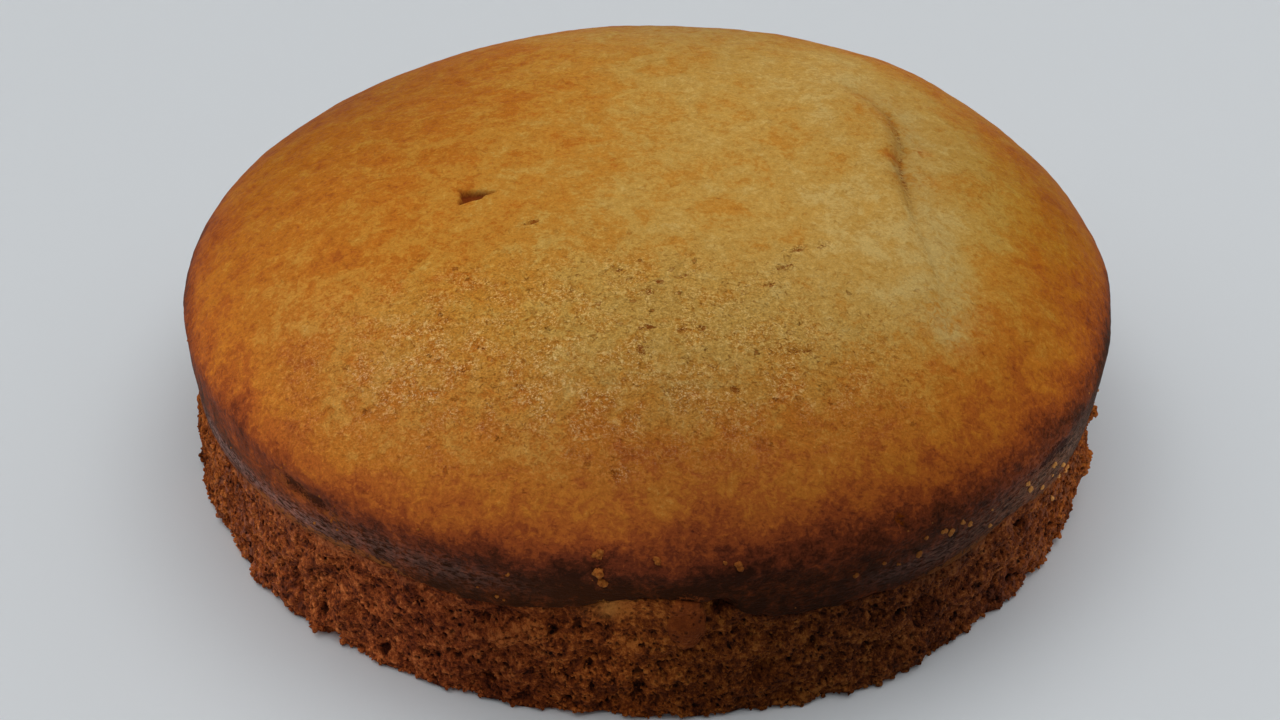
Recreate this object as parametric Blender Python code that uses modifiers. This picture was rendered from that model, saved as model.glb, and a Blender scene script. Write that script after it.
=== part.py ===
"""Round vanilla cake, whole and uncut, as one solid. Metres, +Z up, origin in the middle of the flat base.

The form is a turned profile: a crumbly wall, a smooth baked band that overhangs it, and a low dome.
Functions then move the points of the turned skin: the cake leans a little, the band's lower edge wanders,
the wall has crags, knobs and pits, and the crust has one split near its right-hand side.

Directions are degrees round Z, counted from +X, so the front, which faces -Y, is 270.
"""

import math
import random

import bmesh
import bpy
import numpy as np

MM = 0.001
TURN = 2 * math.pi

# Overall size
RIM_RADIUS = 101.5 * MM
HEIGHT = 67.2 * MM
SHOULDER_HEIGHT = 37.8 * MM
BAND_BOTTOM = 23.5 * MM
BASE_RADIUS = 101.5 * MM

# Profile: powers of the dome's superellipse, the band's tuck at its lip, the crease under it, the foot
DOME_FLATNESS = 2.91
SHOULDER_ROUNDNESS = 1.453
LIP_TUCK = 0.9 * MM
CREASE_DEPTH = 0.7 * MM
CREASE_DROP = 0.8 * MM
FOOT_TUCK = 0.9 * MM

# Rows of the profile and columns round the axis; inside the radius every second column is left out
DOME_ROWS = 12
BAND_ROWS = 3
WALL_ROWS = 9
COLUMNS = 200
HALF_COLUMNS_RADIUS = 80 * MM
MERGE = 0.01 * MM

# Lean and roundness of the whole: the shoulder's height is wavy, the rim slightly oval with a swelling and
# a flat stretch (direction, half width, rise), and the apex and the foot lie off centre
SHOULDER_WAVES = ((1, 0.33 * MM, -0.27 * MM), (2, 0.08 * MM, 1.42 * MM))
RIM_WAVES = ((2, 0.47 * MM, 0.30 * MM),)
RIM_SWELLINGS = ((1, 9 * MM, 0.6 * MM), (22, 18 * MM, -0.8 * MM))
APEX_SHIFT = (5.9 * MM, 0.6 * MM)
BASE_SHIFT = (-0.8 * MM, -0.2 * MM)

# Where the band's lower edge lies higher or lower: direction, half width along the rim, rise
BAND_EDGE_RISES = (
    (267, 22 * MM, 5.0 * MM),
    (274.5, 12.5 * MM, 4.8 * MM),
    (316, 10 * MM, 3.6 * MM),
    (240, 20 * MM, 2.6 * MM),
    (204, 16 * MM, -2.4 * MM),
    (22, 30 * MM, 2.0 * MM),
    (76, 22 * MM, 3.4 * MM),
    (122, 26 * MM, -1.2 * MM),
    (164, 18 * MM, 2.8 * MM),
)

# Crags of the wall: seeded waves of these lengths, a height, and hollows where the waves run deep
CRAG_SEED = 11
CRAG_WAVES = 48
CRAG_LENGTHS = (6.5 * MM, 15 * MM)
CRAG_HEIGHT = 0.42 * MM
HOLLOW_SEED = 12
HOLLOW_START = 0.9
HOLLOW_DEPTH = 0.85 * MM
CRAG_FADE = 2.0 * MM

# Slow unevenness of the crust
CRUST_SEED = 13
CRUST_WAVES = 14
CRUST_LENGTHS = (34 * MM, 75 * MM)
CRUST_HEIGHT = 0.22 * MM

# Marks on the wall and band: direction, height, half width, half height, how far it stands out
WALL_MARKS = (
    (341.3, 10.8 * MM, 3.2 * MM, 2.4 * MM, 2.3 * MM),
    (338.8, 8.6 * MM, 4.0 * MM, 4.0 * MM, 1.2 * MM),
    (320.1, 18.9 * MM, 2.4 * MM, 2.0 * MM, -1.5 * MM),
    (342.5, 21.0 * MM, 2.8 * MM, 2.4 * MM, 1.2 * MM),
    (255.2, 18.3 * MM, 3.2 * MM, 2.6 * MM, 1.5 * MM),
    (258.8, 20.8 * MM, 2.8 * MM, 2.6 * MM, 1.5 * MM),
    (274.2, 26.5 * MM, 4.0 * MM, 6.0 * MM, 1.9 * MM),
    (266.8, 28.2 * MM, 4.0 * MM, 2.6 * MM, -1.2 * MM),
    (278.6, 28.6 * MM, 2.6 * MM, 2.0 * MM, -1.9 * MM),
    (289, 22.0 * MM, 18.0 * MM, 2.0 * MM, -0.8 * MM),
    (231.4, 6.8 * MM, 2.6 * MM, 1.8 * MM, -1.5 * MM),
    (227.8, 7.4 * MM, 2.4 * MM, 1.8 * MM, -1.2 * MM),
    (230.5, 1.5 * MM, 9.0 * MM, 4.0 * MM, 1.2 * MM),
    (253.3, 5.8 * MM, 2.8 * MM, 2.2 * MM, -2.0 * MM),
    (213.7, 17.0 * MM, 2.6 * MM, 2.4 * MM, -1.5 * MM),
    (229.4, 35.6 * MM, 2.8 * MM, 2.0 * MM, -0.8 * MM),
    (232.8, 35.2 * MM, 2.4 * MM, 2.0 * MM, -0.7 * MM),
    (220.8, 1.5 * MM, 9.0 * MM, 6.0 * MM, 0.9 * MM),
    (265.8, 1.5 * MM, 9.0 * MM, 6.0 * MM, -1.0 * MM),
    (300, 2.0 * MM, 12.0 * MM, 7.0 * MM, 1.7 * MM),
    (314, 5.0 * MM, 8.0 * MM, 6.0 * MM, -0.8 * MM),
    (327, 6.0 * MM, 9.0 * MM, 7.0 * MM, 0.5 * MM),
    (18, 9.0 * MM, 5.0 * MM, 4.0 * MM, -1.2 * MM),
    (47, 3.0 * MM, 8.0 * MM, 5.0 * MM, 0.9 * MM),
    (84, 16.0 * MM, 4.5 * MM, 3.6 * MM, 1.4 * MM),
    (108, 6.0 * MM, 5.0 * MM, 4.0 * MM, -1.4 * MM),
    (139, 14.0 * MM, 4.0 * MM, 3.4 * MM, 1.2 * MM),
    (171, 8.0 * MM, 7.0 * MM, 5.0 * MM, -0.9 * MM),
)

# A broad swelling of the dome at the back right: place, half width, rise
SWELLING = (58 * MM, 60 * MM, 15 * MM, 1.3 * MM)

# The split: points along it, then its left bank, its groove and the sunk strip on its right,
# each as distance from the split, half width and height
SPLIT_POINTS = (
    (41 * MM, 37 * MM),
    (51 * MM, 24 * MM),
    (53.5 * MM, 9 * MM),
    (52.5 * MM, 0 * MM),
    (54 * MM, -17 * MM),
    (57 * MM, -35 * MM),
    (58 * MM, -51 * MM),
)
SPLIT_STEPS = 12
SPLIT_FADE = 0.6
SPLIT_REACH = 9 * MM
SPLIT_CUTS = 2
BANK = (-3.5 * MM, 4.0 * MM, 0.6 * MM)
GROOVE = (1.2 * MM, 1.7 * MM, -1.0 * MM)
STRIP = (5.5 * MM, 4.5 * MM, -0.9 * MM)

# Parts of the wall with a finer mesh: direction, height, reach
FINE_SPOTS = (
    (270, 26 * MM, 15 * MM),
    (256, 19 * MM, 9 * MM),
    (340.5, 10 * MM, 8 * MM),
    (320, 19 * MM, 5 * MM),
    (230, 6.5 * MM, 7 * MM),
    (253, 6 * MM, 5 * MM),
)

# Look of the crust, in linear colour values
CRUST_COLOUR = (0.40, 0.20, 0.055, 1.0)
CRUST_ROUGHNESS = 0.6
SMOOTH_ANGLE = math.radians(50)


def clear_scene():
    """Remove every object that is there at the start."""
    for thing in list(bpy.data.objects):
        bpy.data.objects.remove(thing, do_unlink=True)


def bell(distance, half_width):
    """Smooth hump: 1 in the middle, and nearly 0 at two half widths."""
    return np.exp(-(distance / half_width) ** 2)


def ease(share):
    """Smooth step from 0 to 1 as the share goes from 0 to 1."""
    share = np.clip(share, 0, 1)
    return share * share * (3 - 2 * share)


def along_rim(theta, degrees):
    """Distance round the rim from a direction."""
    turn = (theta - math.radians(degrees) + math.pi) % TURN - math.pi
    return turn * RIM_RADIUS


def ring_waves(theta, waves):
    """Sum of whole waves round the axis, each with its count and its cosine and sine heights."""
    return sum(even * np.cos(count * theta) + odd * np.sin(count * theta) for count, even, odd in waves)


def wall_ripples(seed, theta, height):
    """Seeded waves over the unrolled wall, which close round the axis, scaled to a spread of 1."""
    draw = random.Random(seed)
    total = np.zeros_like(theta)
    for _ in range(CRAG_WAVES):
        length = draw.uniform(*CRAG_LENGTHS)
        lean = draw.uniform(0, TURN)
        around = round(TURN * RIM_RADIUS * math.cos(lean) / length)
        upward = TURN * math.sin(lean) / length
        total += np.cos(around * theta + upward * height + draw.uniform(0, TURN))
    return total * math.sqrt(2 / CRAG_WAVES)


def crust_ripples(x, y):
    """Slow seeded waves over the crust, scaled to a spread of 1."""
    draw = random.Random(CRUST_SEED)
    total = np.zeros_like(x)
    for _ in range(CRUST_WAVES):
        pace = TURN / draw.uniform(*CRUST_LENGTHS)
        lean = draw.uniform(0, TURN)
        total += np.cos(pace * (x * math.cos(lean) + y * math.sin(lean)) + draw.uniform(0, TURN))
    return total * math.sqrt(2 / CRUST_WAVES)


def ring_bells(theta, bells):
    """Sum of smooth humps round the axis, each with its direction, half width and rise."""
    return sum(rise * bell(along_rim(theta, degrees), width) for degrees, width, rise in bells)


def band_bottom(theta):
    """Height of the band's lower edge in each direction."""
    return BAND_BOTTOM + ring_bells(theta, BAND_EDGE_RISES)


def split_path():
    """Points close together along a smooth curve through the split's own points."""
    points = np.array(SPLIT_POINTS)
    ends = np.vstack([2 * points[0] - points[1], points, 2 * points[-1] - points[-2]])
    path = []
    for before, start, end, after in zip(ends, ends[1:], ends[2:], ends[3:]):
        for t in np.arange(SPLIT_STEPS) / SPLIT_STEPS:
            bend = 2 * before - 5 * start + 4 * end - after
            twist = 3 * start - before - 3 * end + after
            path.append(start + 0.5 * t * (end - before + t * (bend + t * twist)))
    return np.array(path + [points[-1]])


def split_relief(x, y):
    """Height of the split's bank, groove and strip, which fade out towards both of its ends."""
    path = split_path()
    gaps = np.hypot(x[:, None] - path[:, 0], y[:, None] - path[:, 1])
    nearest = gaps.argmin(axis=1)
    distance = gaps.min(axis=1) * np.sign(x - path[nearest, 0])
    fade = np.sin(math.pi * nearest / (len(path) - 1)) ** SPLIT_FADE
    return fade * sum(rise * bell(distance - place, width) for place, width, rise in (BANK, GROOVE, STRIP))


def dome_relief(x, y):
    """How far each point of the dome is lifted: slow waves, the swelling and the split."""
    place_x, place_y, width, rise = SWELLING
    swelling = rise * bell(np.hypot(x - place_x, y - place_y), width)
    return CRUST_HEIGHT * crust_ripples(x, y) + swelling + split_relief(x, y)


def wall_relief(theta, height, bottom):
    """How far each point of the wall stands out; crags fade towards the band, and marks do not."""
    crags = CRAG_HEIGHT * wall_ripples(CRAG_SEED, theta, height)
    deep = np.clip(wall_ripples(HOLLOW_SEED, theta, height) - HOLLOW_START, 0, None)
    rough = (crags - HOLLOW_DEPTH * deep) * ease((bottom - height) / CRAG_FADE)
    marks = sum(out * bell(along_rim(theta, degrees), width) * bell(height - level, tall)
                for degrees, level, width, tall, out in WALL_MARKS)
    return rough + marks


def shaped(points):
    """Move the points of the plain turned skin to where they lie on the uneven cake."""
    x, y, z = points.T
    radius = np.hypot(x, y)
    theta = np.arctan2(y, x)
    share = radius / RIM_RADIUS
    tilt = ring_waves(theta, SHOULDER_WAVES)
    bottom = band_bottom(theta)
    stretch = (SHOULDER_HEIGHT + tilt - bottom) / (SHOULDER_HEIGHT - BAND_BOTTOM)
    on_wall = z <= BAND_BOTTOM
    on_dome = (z > SHOULDER_HEIGHT) | (radius < MERGE)

    side_height = np.where(on_wall, z * bottom / BAND_BOTTOM, bottom + (z - BAND_BOTTOM) * stretch)
    side_radius = radius + wall_relief(theta, side_height, bottom)
    swell = ring_waves(theta, RIM_WAVES) + ring_bells(theta, RIM_SWELLINGS)
    new_radius = np.where(on_dome, radius, side_radius) + swell * share ** 3
    foot = 1 - np.clip(side_height / bottom, 0, 1)
    new_x = new_radius * np.cos(theta) + np.where(on_dome, APEX_SHIFT[0] * (1 - share), BASE_SHIFT[0] * foot)
    new_y = new_radius * np.sin(theta) + np.where(on_dome, APEX_SHIFT[1] * (1 - share), BASE_SHIFT[1] * foot)
    new_z = np.where(on_dome, z + tilt * share ** 2 + dome_relief(new_x, new_y), side_height)
    return np.stack([new_x, new_y, new_z], axis=1)


def dome_rows():
    """Profile from the apex to just above the shoulder."""
    rows = [(0.0, HEIGHT)]
    for step in range(DOME_ROWS - 1, 0, -1):
        swing = math.pi / 2 * step / DOME_ROWS
        radius = RIM_RADIUS * math.cos(swing) ** (2 / DOME_FLATNESS)
        lift = math.sin(swing) ** (2 / SHOULDER_ROUNDNESS)
        rows.append((radius, SHOULDER_HEIGHT + (HEIGHT - SHOULDER_HEIGHT) * lift))
    return rows


def band_rows():
    """Profile from the shoulder to the lip at the band's lower edge."""
    rows = []
    for step in range(BAND_ROWS + 1):
        share = step / BAND_ROWS
        height = SHOULDER_HEIGHT + (BAND_BOTTOM - SHOULDER_HEIGHT) * share
        rows.append((RIM_RADIUS - LIP_TUCK * share ** 2, height))
    return rows


def wall_rows():
    """Profile from the crease under the lip to the foot of the wall, where the foot tucks in."""
    top_radius = RIM_RADIUS - LIP_TUCK - CREASE_DEPTH
    rows = []
    for step in range(WALL_ROWS):
        share = step / WALL_ROWS
        height = (BAND_BOTTOM - CREASE_DROP) * (1 - share)
        rows.append((top_radius + (BASE_RADIUS - top_radius) * share, height))
    return rows + [(BASE_RADIUS - FOOT_TUCK, 0.0)]


def turned_skin(rows):
    """Turn a profile once round Z with a Screw modifier, and return the skin, which is open below."""
    outline = bpy.data.meshes.new("profile")
    points = [(radius, 0.0, height) for radius, height in rows]
    outline.from_pydata(points, [(i, i + 1) for i in range(len(points) - 1)], [])
    guide = bpy.data.objects.new("profile", outline)
    bpy.context.scene.collection.objects.link(guide)
    screw = guide.modifiers.new("turn", "SCREW")
    screw.axis = "Z"
    screw.angle = TURN
    screw.steps = COLUMNS
    screw.render_steps = COLUMNS
    screw.use_merge_vertices = True
    screw.merge_threshold = MERGE
    evaluated = guide.evaluated_get(bpy.context.evaluated_depsgraph_get())
    skin = bpy.data.meshes.new_from_object(evaluated)
    bpy.data.objects.remove(guide, do_unlink=True)
    return skin


def halve_columns(bm):
    """Near the apex, where columns crowd together, merge every second one into the one before it."""
    heights = [height for _, height in dome_rows()]
    places = {}
    for point in bm.verts:
        radius = math.hypot(point.co.x, point.co.y)
        if MERGE < radius < HALF_COLUMNS_RADIUS and point.co.z > SHOULDER_HEIGHT:
            row = min(range(len(heights)), key=lambda i: abs(heights[i] - point.co.z))
            column = round(math.atan2(point.co.y, point.co.x) / TURN * COLUMNS) % COLUMNS
            places[row, column] = point
    pairs = {point: places[row, column - 1] for (row, column), point in places.items() if column % 2}
    bmesh.ops.weld_verts(bm, targetmap=pairs)


def runs_outwards(edge):
    """Whether an edge runs away from the axis more than round it."""
    first, second = (point.co for point in edge.verts)
    outward = abs(math.hypot(first.x, first.y) - math.hypot(second.x, second.y))
    return outward > 0.7 * (first.xy - second.xy).length


def refine_split(bm):
    """Cut the edges that cross the split's surroundings, so that its bank and groove have enough rows."""
    path = split_path()
    chosen = []
    for edge in bm.edges:
        middle = (edge.verts[0].co + edge.verts[1].co) / 2
        gap = np.hypot(path[:, 0] - middle.x, path[:, 1] - middle.y).min()
        if middle.z > SHOULDER_HEIGHT and gap < SPLIT_REACH and runs_outwards(edge):
            chosen.append(edge)
    bmesh.ops.subdivide_edges(bm, edges=chosen, cuts=SPLIT_CUTS)


def refine_wall(bm):
    """Cut every edge near the wall's larger marks once."""
    chosen = []
    for edge in bm.edges:
        middle = (edge.verts[0].co + edge.verts[1].co) / 2
        theta = math.atan2(middle.y, middle.x)
        beside = math.hypot(middle.x, middle.y) > HALF_COLUMNS_RADIUS and middle.z > MERGE
        near = any(math.hypot(along_rim(theta, degrees), middle.z - height) < reach
                   for degrees, height, reach in FINE_SPOTS)
        if beside and near:
            chosen.append(edge)
    bmesh.ops.subdivide_edges(bm, edges=chosen, cuts=1, use_grid_fill=True)


def close_base(bm):
    """Close the foot ring with one flat face, and turn all faces outwards."""
    rim = [edge for edge in bm.edges if edge.is_boundary]
    bmesh.ops.contextual_create(bm, geom=rim)
    bmesh.ops.recalc_face_normals(bm, faces=bm.faces)


def move_points(mesh):
    """Give the plain skin its uneven form."""
    points = np.empty(len(mesh.vertices) * 3)
    mesh.vertices.foreach_get("co", points)
    mesh.vertices.foreach_set("co", shaped(points.reshape(-1, 3)).ravel())
    mesh.update()


def crust_material():
    """Baked crust, golden brown."""
    material = bpy.data.materials.new("baked_crust")
    material.use_nodes = True
    shader = material.node_tree.nodes["Principled BSDF"]
    shader.inputs["Base Color"].default_value = CRUST_COLOUR
    shader.inputs["Roughness"].default_value = CRUST_ROUGHNESS
    shader.inputs["Metallic"].default_value = 0.0
    return material


def build_cake(collection):
    """The whole cake as one closed body."""
    mesh = turned_skin(dome_rows() + band_rows() + wall_rows())
    mesh.name = "cake"
    bm = bmesh.new()
    bm.from_mesh(mesh)
    halve_columns(bm)
    refine_split(bm)
    refine_wall(bm)
    close_base(bm)
    bm.to_mesh(mesh)
    bm.free()
    move_points(mesh)
    mesh.shade_smooth()
    mesh.set_sharp_from_angle(angle=SMOOTH_ANGLE)
    mesh.materials.append(crust_material())
    cake = bpy.data.objects.new("cake", mesh)
    collection.objects.link(cake)
    return cake


def main():
    clear_scene()
    collection = bpy.data.collections.new("vanilla_cake")
    bpy.context.scene.collection.children.link(collection)
    build_cake(collection)


main()
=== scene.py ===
"""Looks of a round vanilla cake: baked crust over a crumbly wall, with loose grains and crumbs on it.

The form is worked out by the same sizes and functions as the solid that the frame holds, on a much finer
mesh, and the small relief, pores and colours come on top. Metres, +Z up, directions in degrees round Z
from +X, so that the front, which faces -Y, is 270. The tables give lengths in millimetres.
"""

import math
import random

import bmesh
import bpy
import numpy as np
from mathutils import Matrix, Vector, bvhtree, noise


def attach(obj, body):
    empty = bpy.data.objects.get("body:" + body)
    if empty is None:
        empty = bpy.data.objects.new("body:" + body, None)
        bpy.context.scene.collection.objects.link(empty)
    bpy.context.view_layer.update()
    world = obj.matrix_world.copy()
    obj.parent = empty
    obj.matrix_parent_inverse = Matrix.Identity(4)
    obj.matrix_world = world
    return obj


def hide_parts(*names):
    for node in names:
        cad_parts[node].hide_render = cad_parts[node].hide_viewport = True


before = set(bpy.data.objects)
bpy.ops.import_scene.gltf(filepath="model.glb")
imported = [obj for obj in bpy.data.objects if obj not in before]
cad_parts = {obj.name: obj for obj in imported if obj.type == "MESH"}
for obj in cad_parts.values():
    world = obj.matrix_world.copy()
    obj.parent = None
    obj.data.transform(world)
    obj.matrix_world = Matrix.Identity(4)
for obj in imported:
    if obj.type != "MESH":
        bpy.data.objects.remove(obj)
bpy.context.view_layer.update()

MM = 0.001
TURN = 2 * math.pi


def metres(columns, *rows):
    """Rows of a table, with the lengths in some columns, counted from 0, turned into metres."""
    return [tuple(value * MM if i in columns else value for i, value in enumerate(row)) for row in rows]


# Overall size and profile, as in the solid
RIM_RADIUS = 101.5 * MM
HEIGHT = 67.2 * MM
SHOULDER_HEIGHT = 37.8 * MM
BAND_BOTTOM = 23.5 * MM
BASE_RADIUS = 101.5 * MM
DOME_FLATNESS = 2.91
SHOULDER_ROUNDNESS = 1.453
LIP_TUCK = 0.9 * MM
CREASE_DEPTH = 0.7 * MM
CREASE_DROP = 0.8 * MM
FOOT_TUCK = 0.9 * MM
FOOT_STEPS = 6
MERGE = 0.01 * MM

# Lean and roundness of the whole, as in the solid
SHOULDER_WAVES = metres((1, 2), (1, 0.33, -0.27), (2, 0.08, 1.42))
RIM_WAVES = metres((1, 2), (2, 0.47, 0.3))
RIM_SWELLINGS = metres((1, 2), (1, 9, 0.6), (22, 18, -0.8))
APEX_SHIFT = (5.9 * MM, 0.6 * MM)
BASE_SHIFT = (-0.8 * MM, -0.2 * MM)

# Where the band's lower edge lies higher or lower: direction, half width along the rim, rise
BAND_EDGE_RISES = metres(
    (1, 2),
    (267, 22, 5), (274.5, 12.5, 4.8), (316, 10, 3.6), (240, 20, 2.6), (204, 16, -2.4), (22, 30, 2),
    (76, 22, 3.4), (122, 26, -1.2), (164, 18, 2.8),
)

# Crags of the wall and slow unevenness of the crust, as in the solid
CRAG_SEED = 11
CRAG_WAVES = 48
CRAG_LENGTHS = (6.5 * MM, 15 * MM)
CRAG_HEIGHT = 0.42 * MM
HOLLOW_SEED = 12
HOLLOW_START = 0.9
HOLLOW_DEPTH = 0.85 * MM
CRAG_FADE = 2.0 * MM
CRUST_SEED = 13
CRUST_WAVES = 14
CRUST_LENGTHS = (34 * MM, 75 * MM)
CRUST_HEIGHT = 0.22 * MM

# Marks on the wall and band: direction, height, half width, half height, how far it stands out
WALL_MARKS = metres(
    (1, 2, 3, 4),
    (341.3, 10.8, 3.2, 2.4, 2.3), (338.8, 8.6, 4, 4, 1.2), (320.1, 18.9, 2.4, 2, -1.5),
    (342.5, 21, 2.8, 2.4, 1.2), (255.2, 18.3, 3.2, 2.6, 1.5), (258.8, 20.8, 2.8, 2.6, 1.5),
    (274.2, 26.5, 4, 6, 1.9), (266.8, 28.2, 4, 2.6, -1.2), (278.6, 28.6, 2.6, 2, -1.9),
    (289, 22, 18, 2, -0.8), (231.4, 6.8, 2.6, 1.8, -1.5), (227.8, 7.4, 2.4, 1.8, -1.2),
    (230.5, 1.5, 9, 4, 1.2), (253.3, 5.8, 2.8, 2.2, -2), (213.7, 17, 2.6, 2.4, -1.5),
    (229.4, 35.6, 2.8, 2, -0.8), (232.8, 35.2, 2.4, 2, -0.7), (220.8, 1.5, 9, 6, 0.9),
    (265.8, 1.5, 9, 6, -1), (300, 2, 12, 7, 1.7), (314, 5, 8, 6, -0.8), (327, 6, 9, 7, 0.5),
    (18, 9, 5, 4, -1.2), (47, 3, 8, 5, 0.9), (84, 16, 4.5, 3.6, 1.4), (108, 6, 5, 4, -1.4),
    (139, 14, 4, 3.4, 1.2), (171, 8, 7, 5, -0.9),
)

# The dome's swelling and its split, as in the solid
SWELLING = (58 * MM, 60 * MM, 15 * MM, 1.3 * MM)
SPLIT_POINTS = metres((0, 1), (41, 37), (51, 24), (53.5, 9), (52.5, 0), (54, -17), (57, -35), (58, -51))
SPLIT_STEPS = 12
SPLIT_FADE = 0.6
BANK = (-3.5 * MM, 4.0 * MM, 0.6 * MM)
GROOVE = (1.2 * MM, 1.7 * MM, -1.0 * MM)
STRIP = (5.5 * MM, 4.5 * MM, -0.9 * MM)

# Mesh of the crust: spacing of its rows, columns round the rim, radius inside which the columns halve
CRUST_SPACING = 0.8 * MM
CRUST_COLUMNS = 640
HALVING_RADIUS = 50 * MM
LEAST_COLUMNS = 20
DOME_STEPS = 2000

# Under the band the crust turns inwards and ends at a flat hidden face: inset from the rim, height
LIP_ROWS = ((1.05, 23.32), (1.35, 23.2), (2.0, 23.3), (4.0, 24.5), (5.0, 34.0))
# The wall's hidden top: inset from the rim, height
WALL_TOP_ROWS = ((6.0, 33.5), (5.0, 24.0), (2.6, 23.0))

# Mesh of the wall
WALL_SPACING = 0.4 * MM
WALL_COLUMNS = 1480
FOOT_HEIGHT = 1.6 * MM

# Ragged edge of the band: size and height of its waves, and how far up the band they fade
LIP_SEED = 21
LIP_WAVES = metres((0, 1), (6, 0.5), (2.2, 0.6), (1, 0.4))
LIP_FADE = 3.0 * MM
LIP_DEPTH = 3 * MM

# Slow and small bumps of the crust: size, height
CRUST_BUMPS = metres((0, 1), (7, 0.16), (3.2, 0.1), (1.6, 0.05))
CRUST_BUMP_SEED = 22

# Slits in the crust: place, length, lean from +X in degrees, depth
SLITS = metres(
    (0, 1, 2, 4),
    (-0.1, -59.6, 3.6, 15, 0.6), (6.3, -59.8, 2, 20, 0.8), (9.9, -59.3, 2.4, 8, 0.8),
    (6.3, -45, 3, 12, 0.6), (1.8, -46.9, 1.8, 5, 0.6), (-0.3, -49.8, 2.8, 18, 0.5),
    (-6.2, -43.7, 1.8, 15, 0.6), (-1.2, -65.1, 2.4, -70, 0.5), (27.7, -62.2, 2.2, 10, 0.6),
    (30.2, -61.8, 1.8, -5, 0.6), (16.2, -72.1, 1.6, 0, 0.6), (34.6, -33.4, 2.4, 20, 0.5),
    (29.2, -35.5, 3.2, 25, 0.5), (26.6, -40.7, 3.6, 35, 0.5), (23.6, -46.2, 2.8, 30, 0.5),
    (-24.2, -29, 3, 20, 0.6), (-5.5, -88.7, 1.6, 0, 0.6), (47.1, -87.3, 2.2, 40, 0.9),
)
SLIT_WIDTH = 0.6 * MM
SLIT_WANDER = 0.6 * MM
SLIT_WANDER_SIZE = 1.5 * MM
SLIT_SEED = 30
SLIT_SHARE = 0.6
SLIT_RIM = 1.6 * MM
SLIT_REACH = 3.2 * MM

# A missing flake: the corners of its hollow, its depth and the width of its edge
NOTCH_CORNERS = metres((0, 1), (-40.2, -15.6), (-39.8, -21.6), (-31.6, -17.4))
NOTCH_DEPTH = 1.2 * MM
NOTCH_EDGE = 0.6 * MM
NOTCH_WANDER = 0.5 * MM
NOTCH_WANDER_SIZE = 1.2 * MM
NOTCH_SEED = 33
# How far from these and from the split the mesh is finer
NOTCH_REACH = 7 * MM
SPLIT_REACH = 7 * MM

# Height at which the crust turns dark, and where that lies higher or lower round the rim
DARK_TOP = 38.0 * MM
DARK_RISES = metres(
    (1, 2),
    (322, 28, 1.9), (290, 31, 3.3), (265, 15, 1.3), (233, 18, -2.4), (210, 16, -2.6), (345, 22, 1.6),
    (62, 40, 1.6), (122, 30, -1.2), (178, 30, 1),
)
# Browning by the height above that, from the band up to the dome
BROWNING_BY_LEVEL = metres(
    (0,),
    (-6, 1), (-3, 0.95), (0, 0.86), (2.5, 0.73), (5, 0.62), (9, 0.51), (13, 0.455), (20, 0.39),
)
# Where the band is browner or less brown round the rim
BAND_BROWNINGS = metres(
    (1,),
    (224, 32, -0.17), (286, 14, -0.05), (320, 32, -0.1), (349, 34, 0.14), (95, 50, -0.08),
    (160, 34, 0.08), (198, 18, 0.07),
)
BAND_BROWNING_START = 0.4
BAND_BROWNING_FADE = 5 * MM
# Where the dome browns further in from its rim: direction, half width, how much; and its radii
RIM_BROWNINGS = metres((1,), (150, 50, 0.08), (75, 50, 0.03), (345, 36, -0.05), (208, 26, 0.05))
RIM_BROWNING_RADII = (50 * MM, 92 * MM)
RIM_BROWNING_FADE = 4 * MM
# Painted light and shade round the cake: direction, half width, share on the wall, share on the dome
SHADES = metres(
    (1,),
    (216, 50, 0.5, 0.12), (205, 20, 0.08, 0), (266, 14, 0.33, 0.05), (268, 22, 0, -0.13),
    (292, 58, -0.56, -0.23), (333, 28, 0.45, -0.04), (8, 55, 0, -0.26), (85, 50, 0, -0.28),
    (150, 55, 0, -0.33),
)
SHADE_HEIGHTS = (24 * MM, 52 * MM)
SHADE_RADII = (20 * MM, 100 * MM)
DOME_SHADE = 0.98
# More painted light and shade, on the wall alone
WALL_SHADES = metres(
    (1,),
    (231, 36, 0.22), (243, 12, 0.08), (254, 18, -0.22), (290, 26, 0.12), (330, 24, 0.07),
)
# Where the dome and the band are less or more yellow: direction, half width, how much
DOME_COOL = metres((1,), (228, 50, 0.7), (275, 50, 0.9))
DOME_WARM = metres((1,), (0, 44, 1), (158, 44, 1))
BAND_WARM = metres((1,), (326, 34, 0.7))
DOME_TINT_START = 58 * MM
DOME_TINT_BLUR = 34 * MM
BAND_BLUR = 5 * MM
# Dark scars of the band: direction, height, half sizes, strength
SCARS = metres(
    (1, 2, 3),
    (228.8, 35.6, 2.2, 1.6, 1), (232.3, 35.2, 2.6, 1.5, 1), (227.6, 37.2, 1.2, 0.8, 0.7),
    (233, 31.5, 3, 0.7, 0.6), (322.8, 35.6, 4.6, 1.7, 1), (326, 34.2, 2.6, 1.3, 0.8),
    (318.5, 35.6, 2, 1, 0.5),
)
# Broken orange skin round the scars of the left, and the band's greyish painted sheen, in the same terms
RAW_SPOTS = metres((1, 2, 3), (228.6, 35.8, 6, 2.2, 1), (235, 33.6, 5, 1.5, 0.6))
PAINTED_SHEEN_SPOTS = metres(
    (1, 2, 3),
    (209, 25, 10, 3, 1), (218, 26.8, 12, 2, 1), (229, 28.2, 12, 2.4, 0.85), (240, 31.5, 14, 3.2, 0.5),
    (251, 32.5, 12, 3, 0.3), (318, 31, 20, 5.5, 0.75), (329, 29, 12, 6, 0.6), (302, 29, 12, 3, 0.6),
    (80, 30, 60, 4, 0.6), (160, 30, 30, 4, 0.7),
)
# Browning of the dome, its slope for each millimetre from left to right, and its outer edge
DOME_BROWNING = 0.235
DOME_BROWNING_SLOPE = -0.0025
DOME_BROWNING_ENDS = (-70 * MM, 45 * MM)
DOME_ZONE = (62 * MM, 86 * MM)

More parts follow.
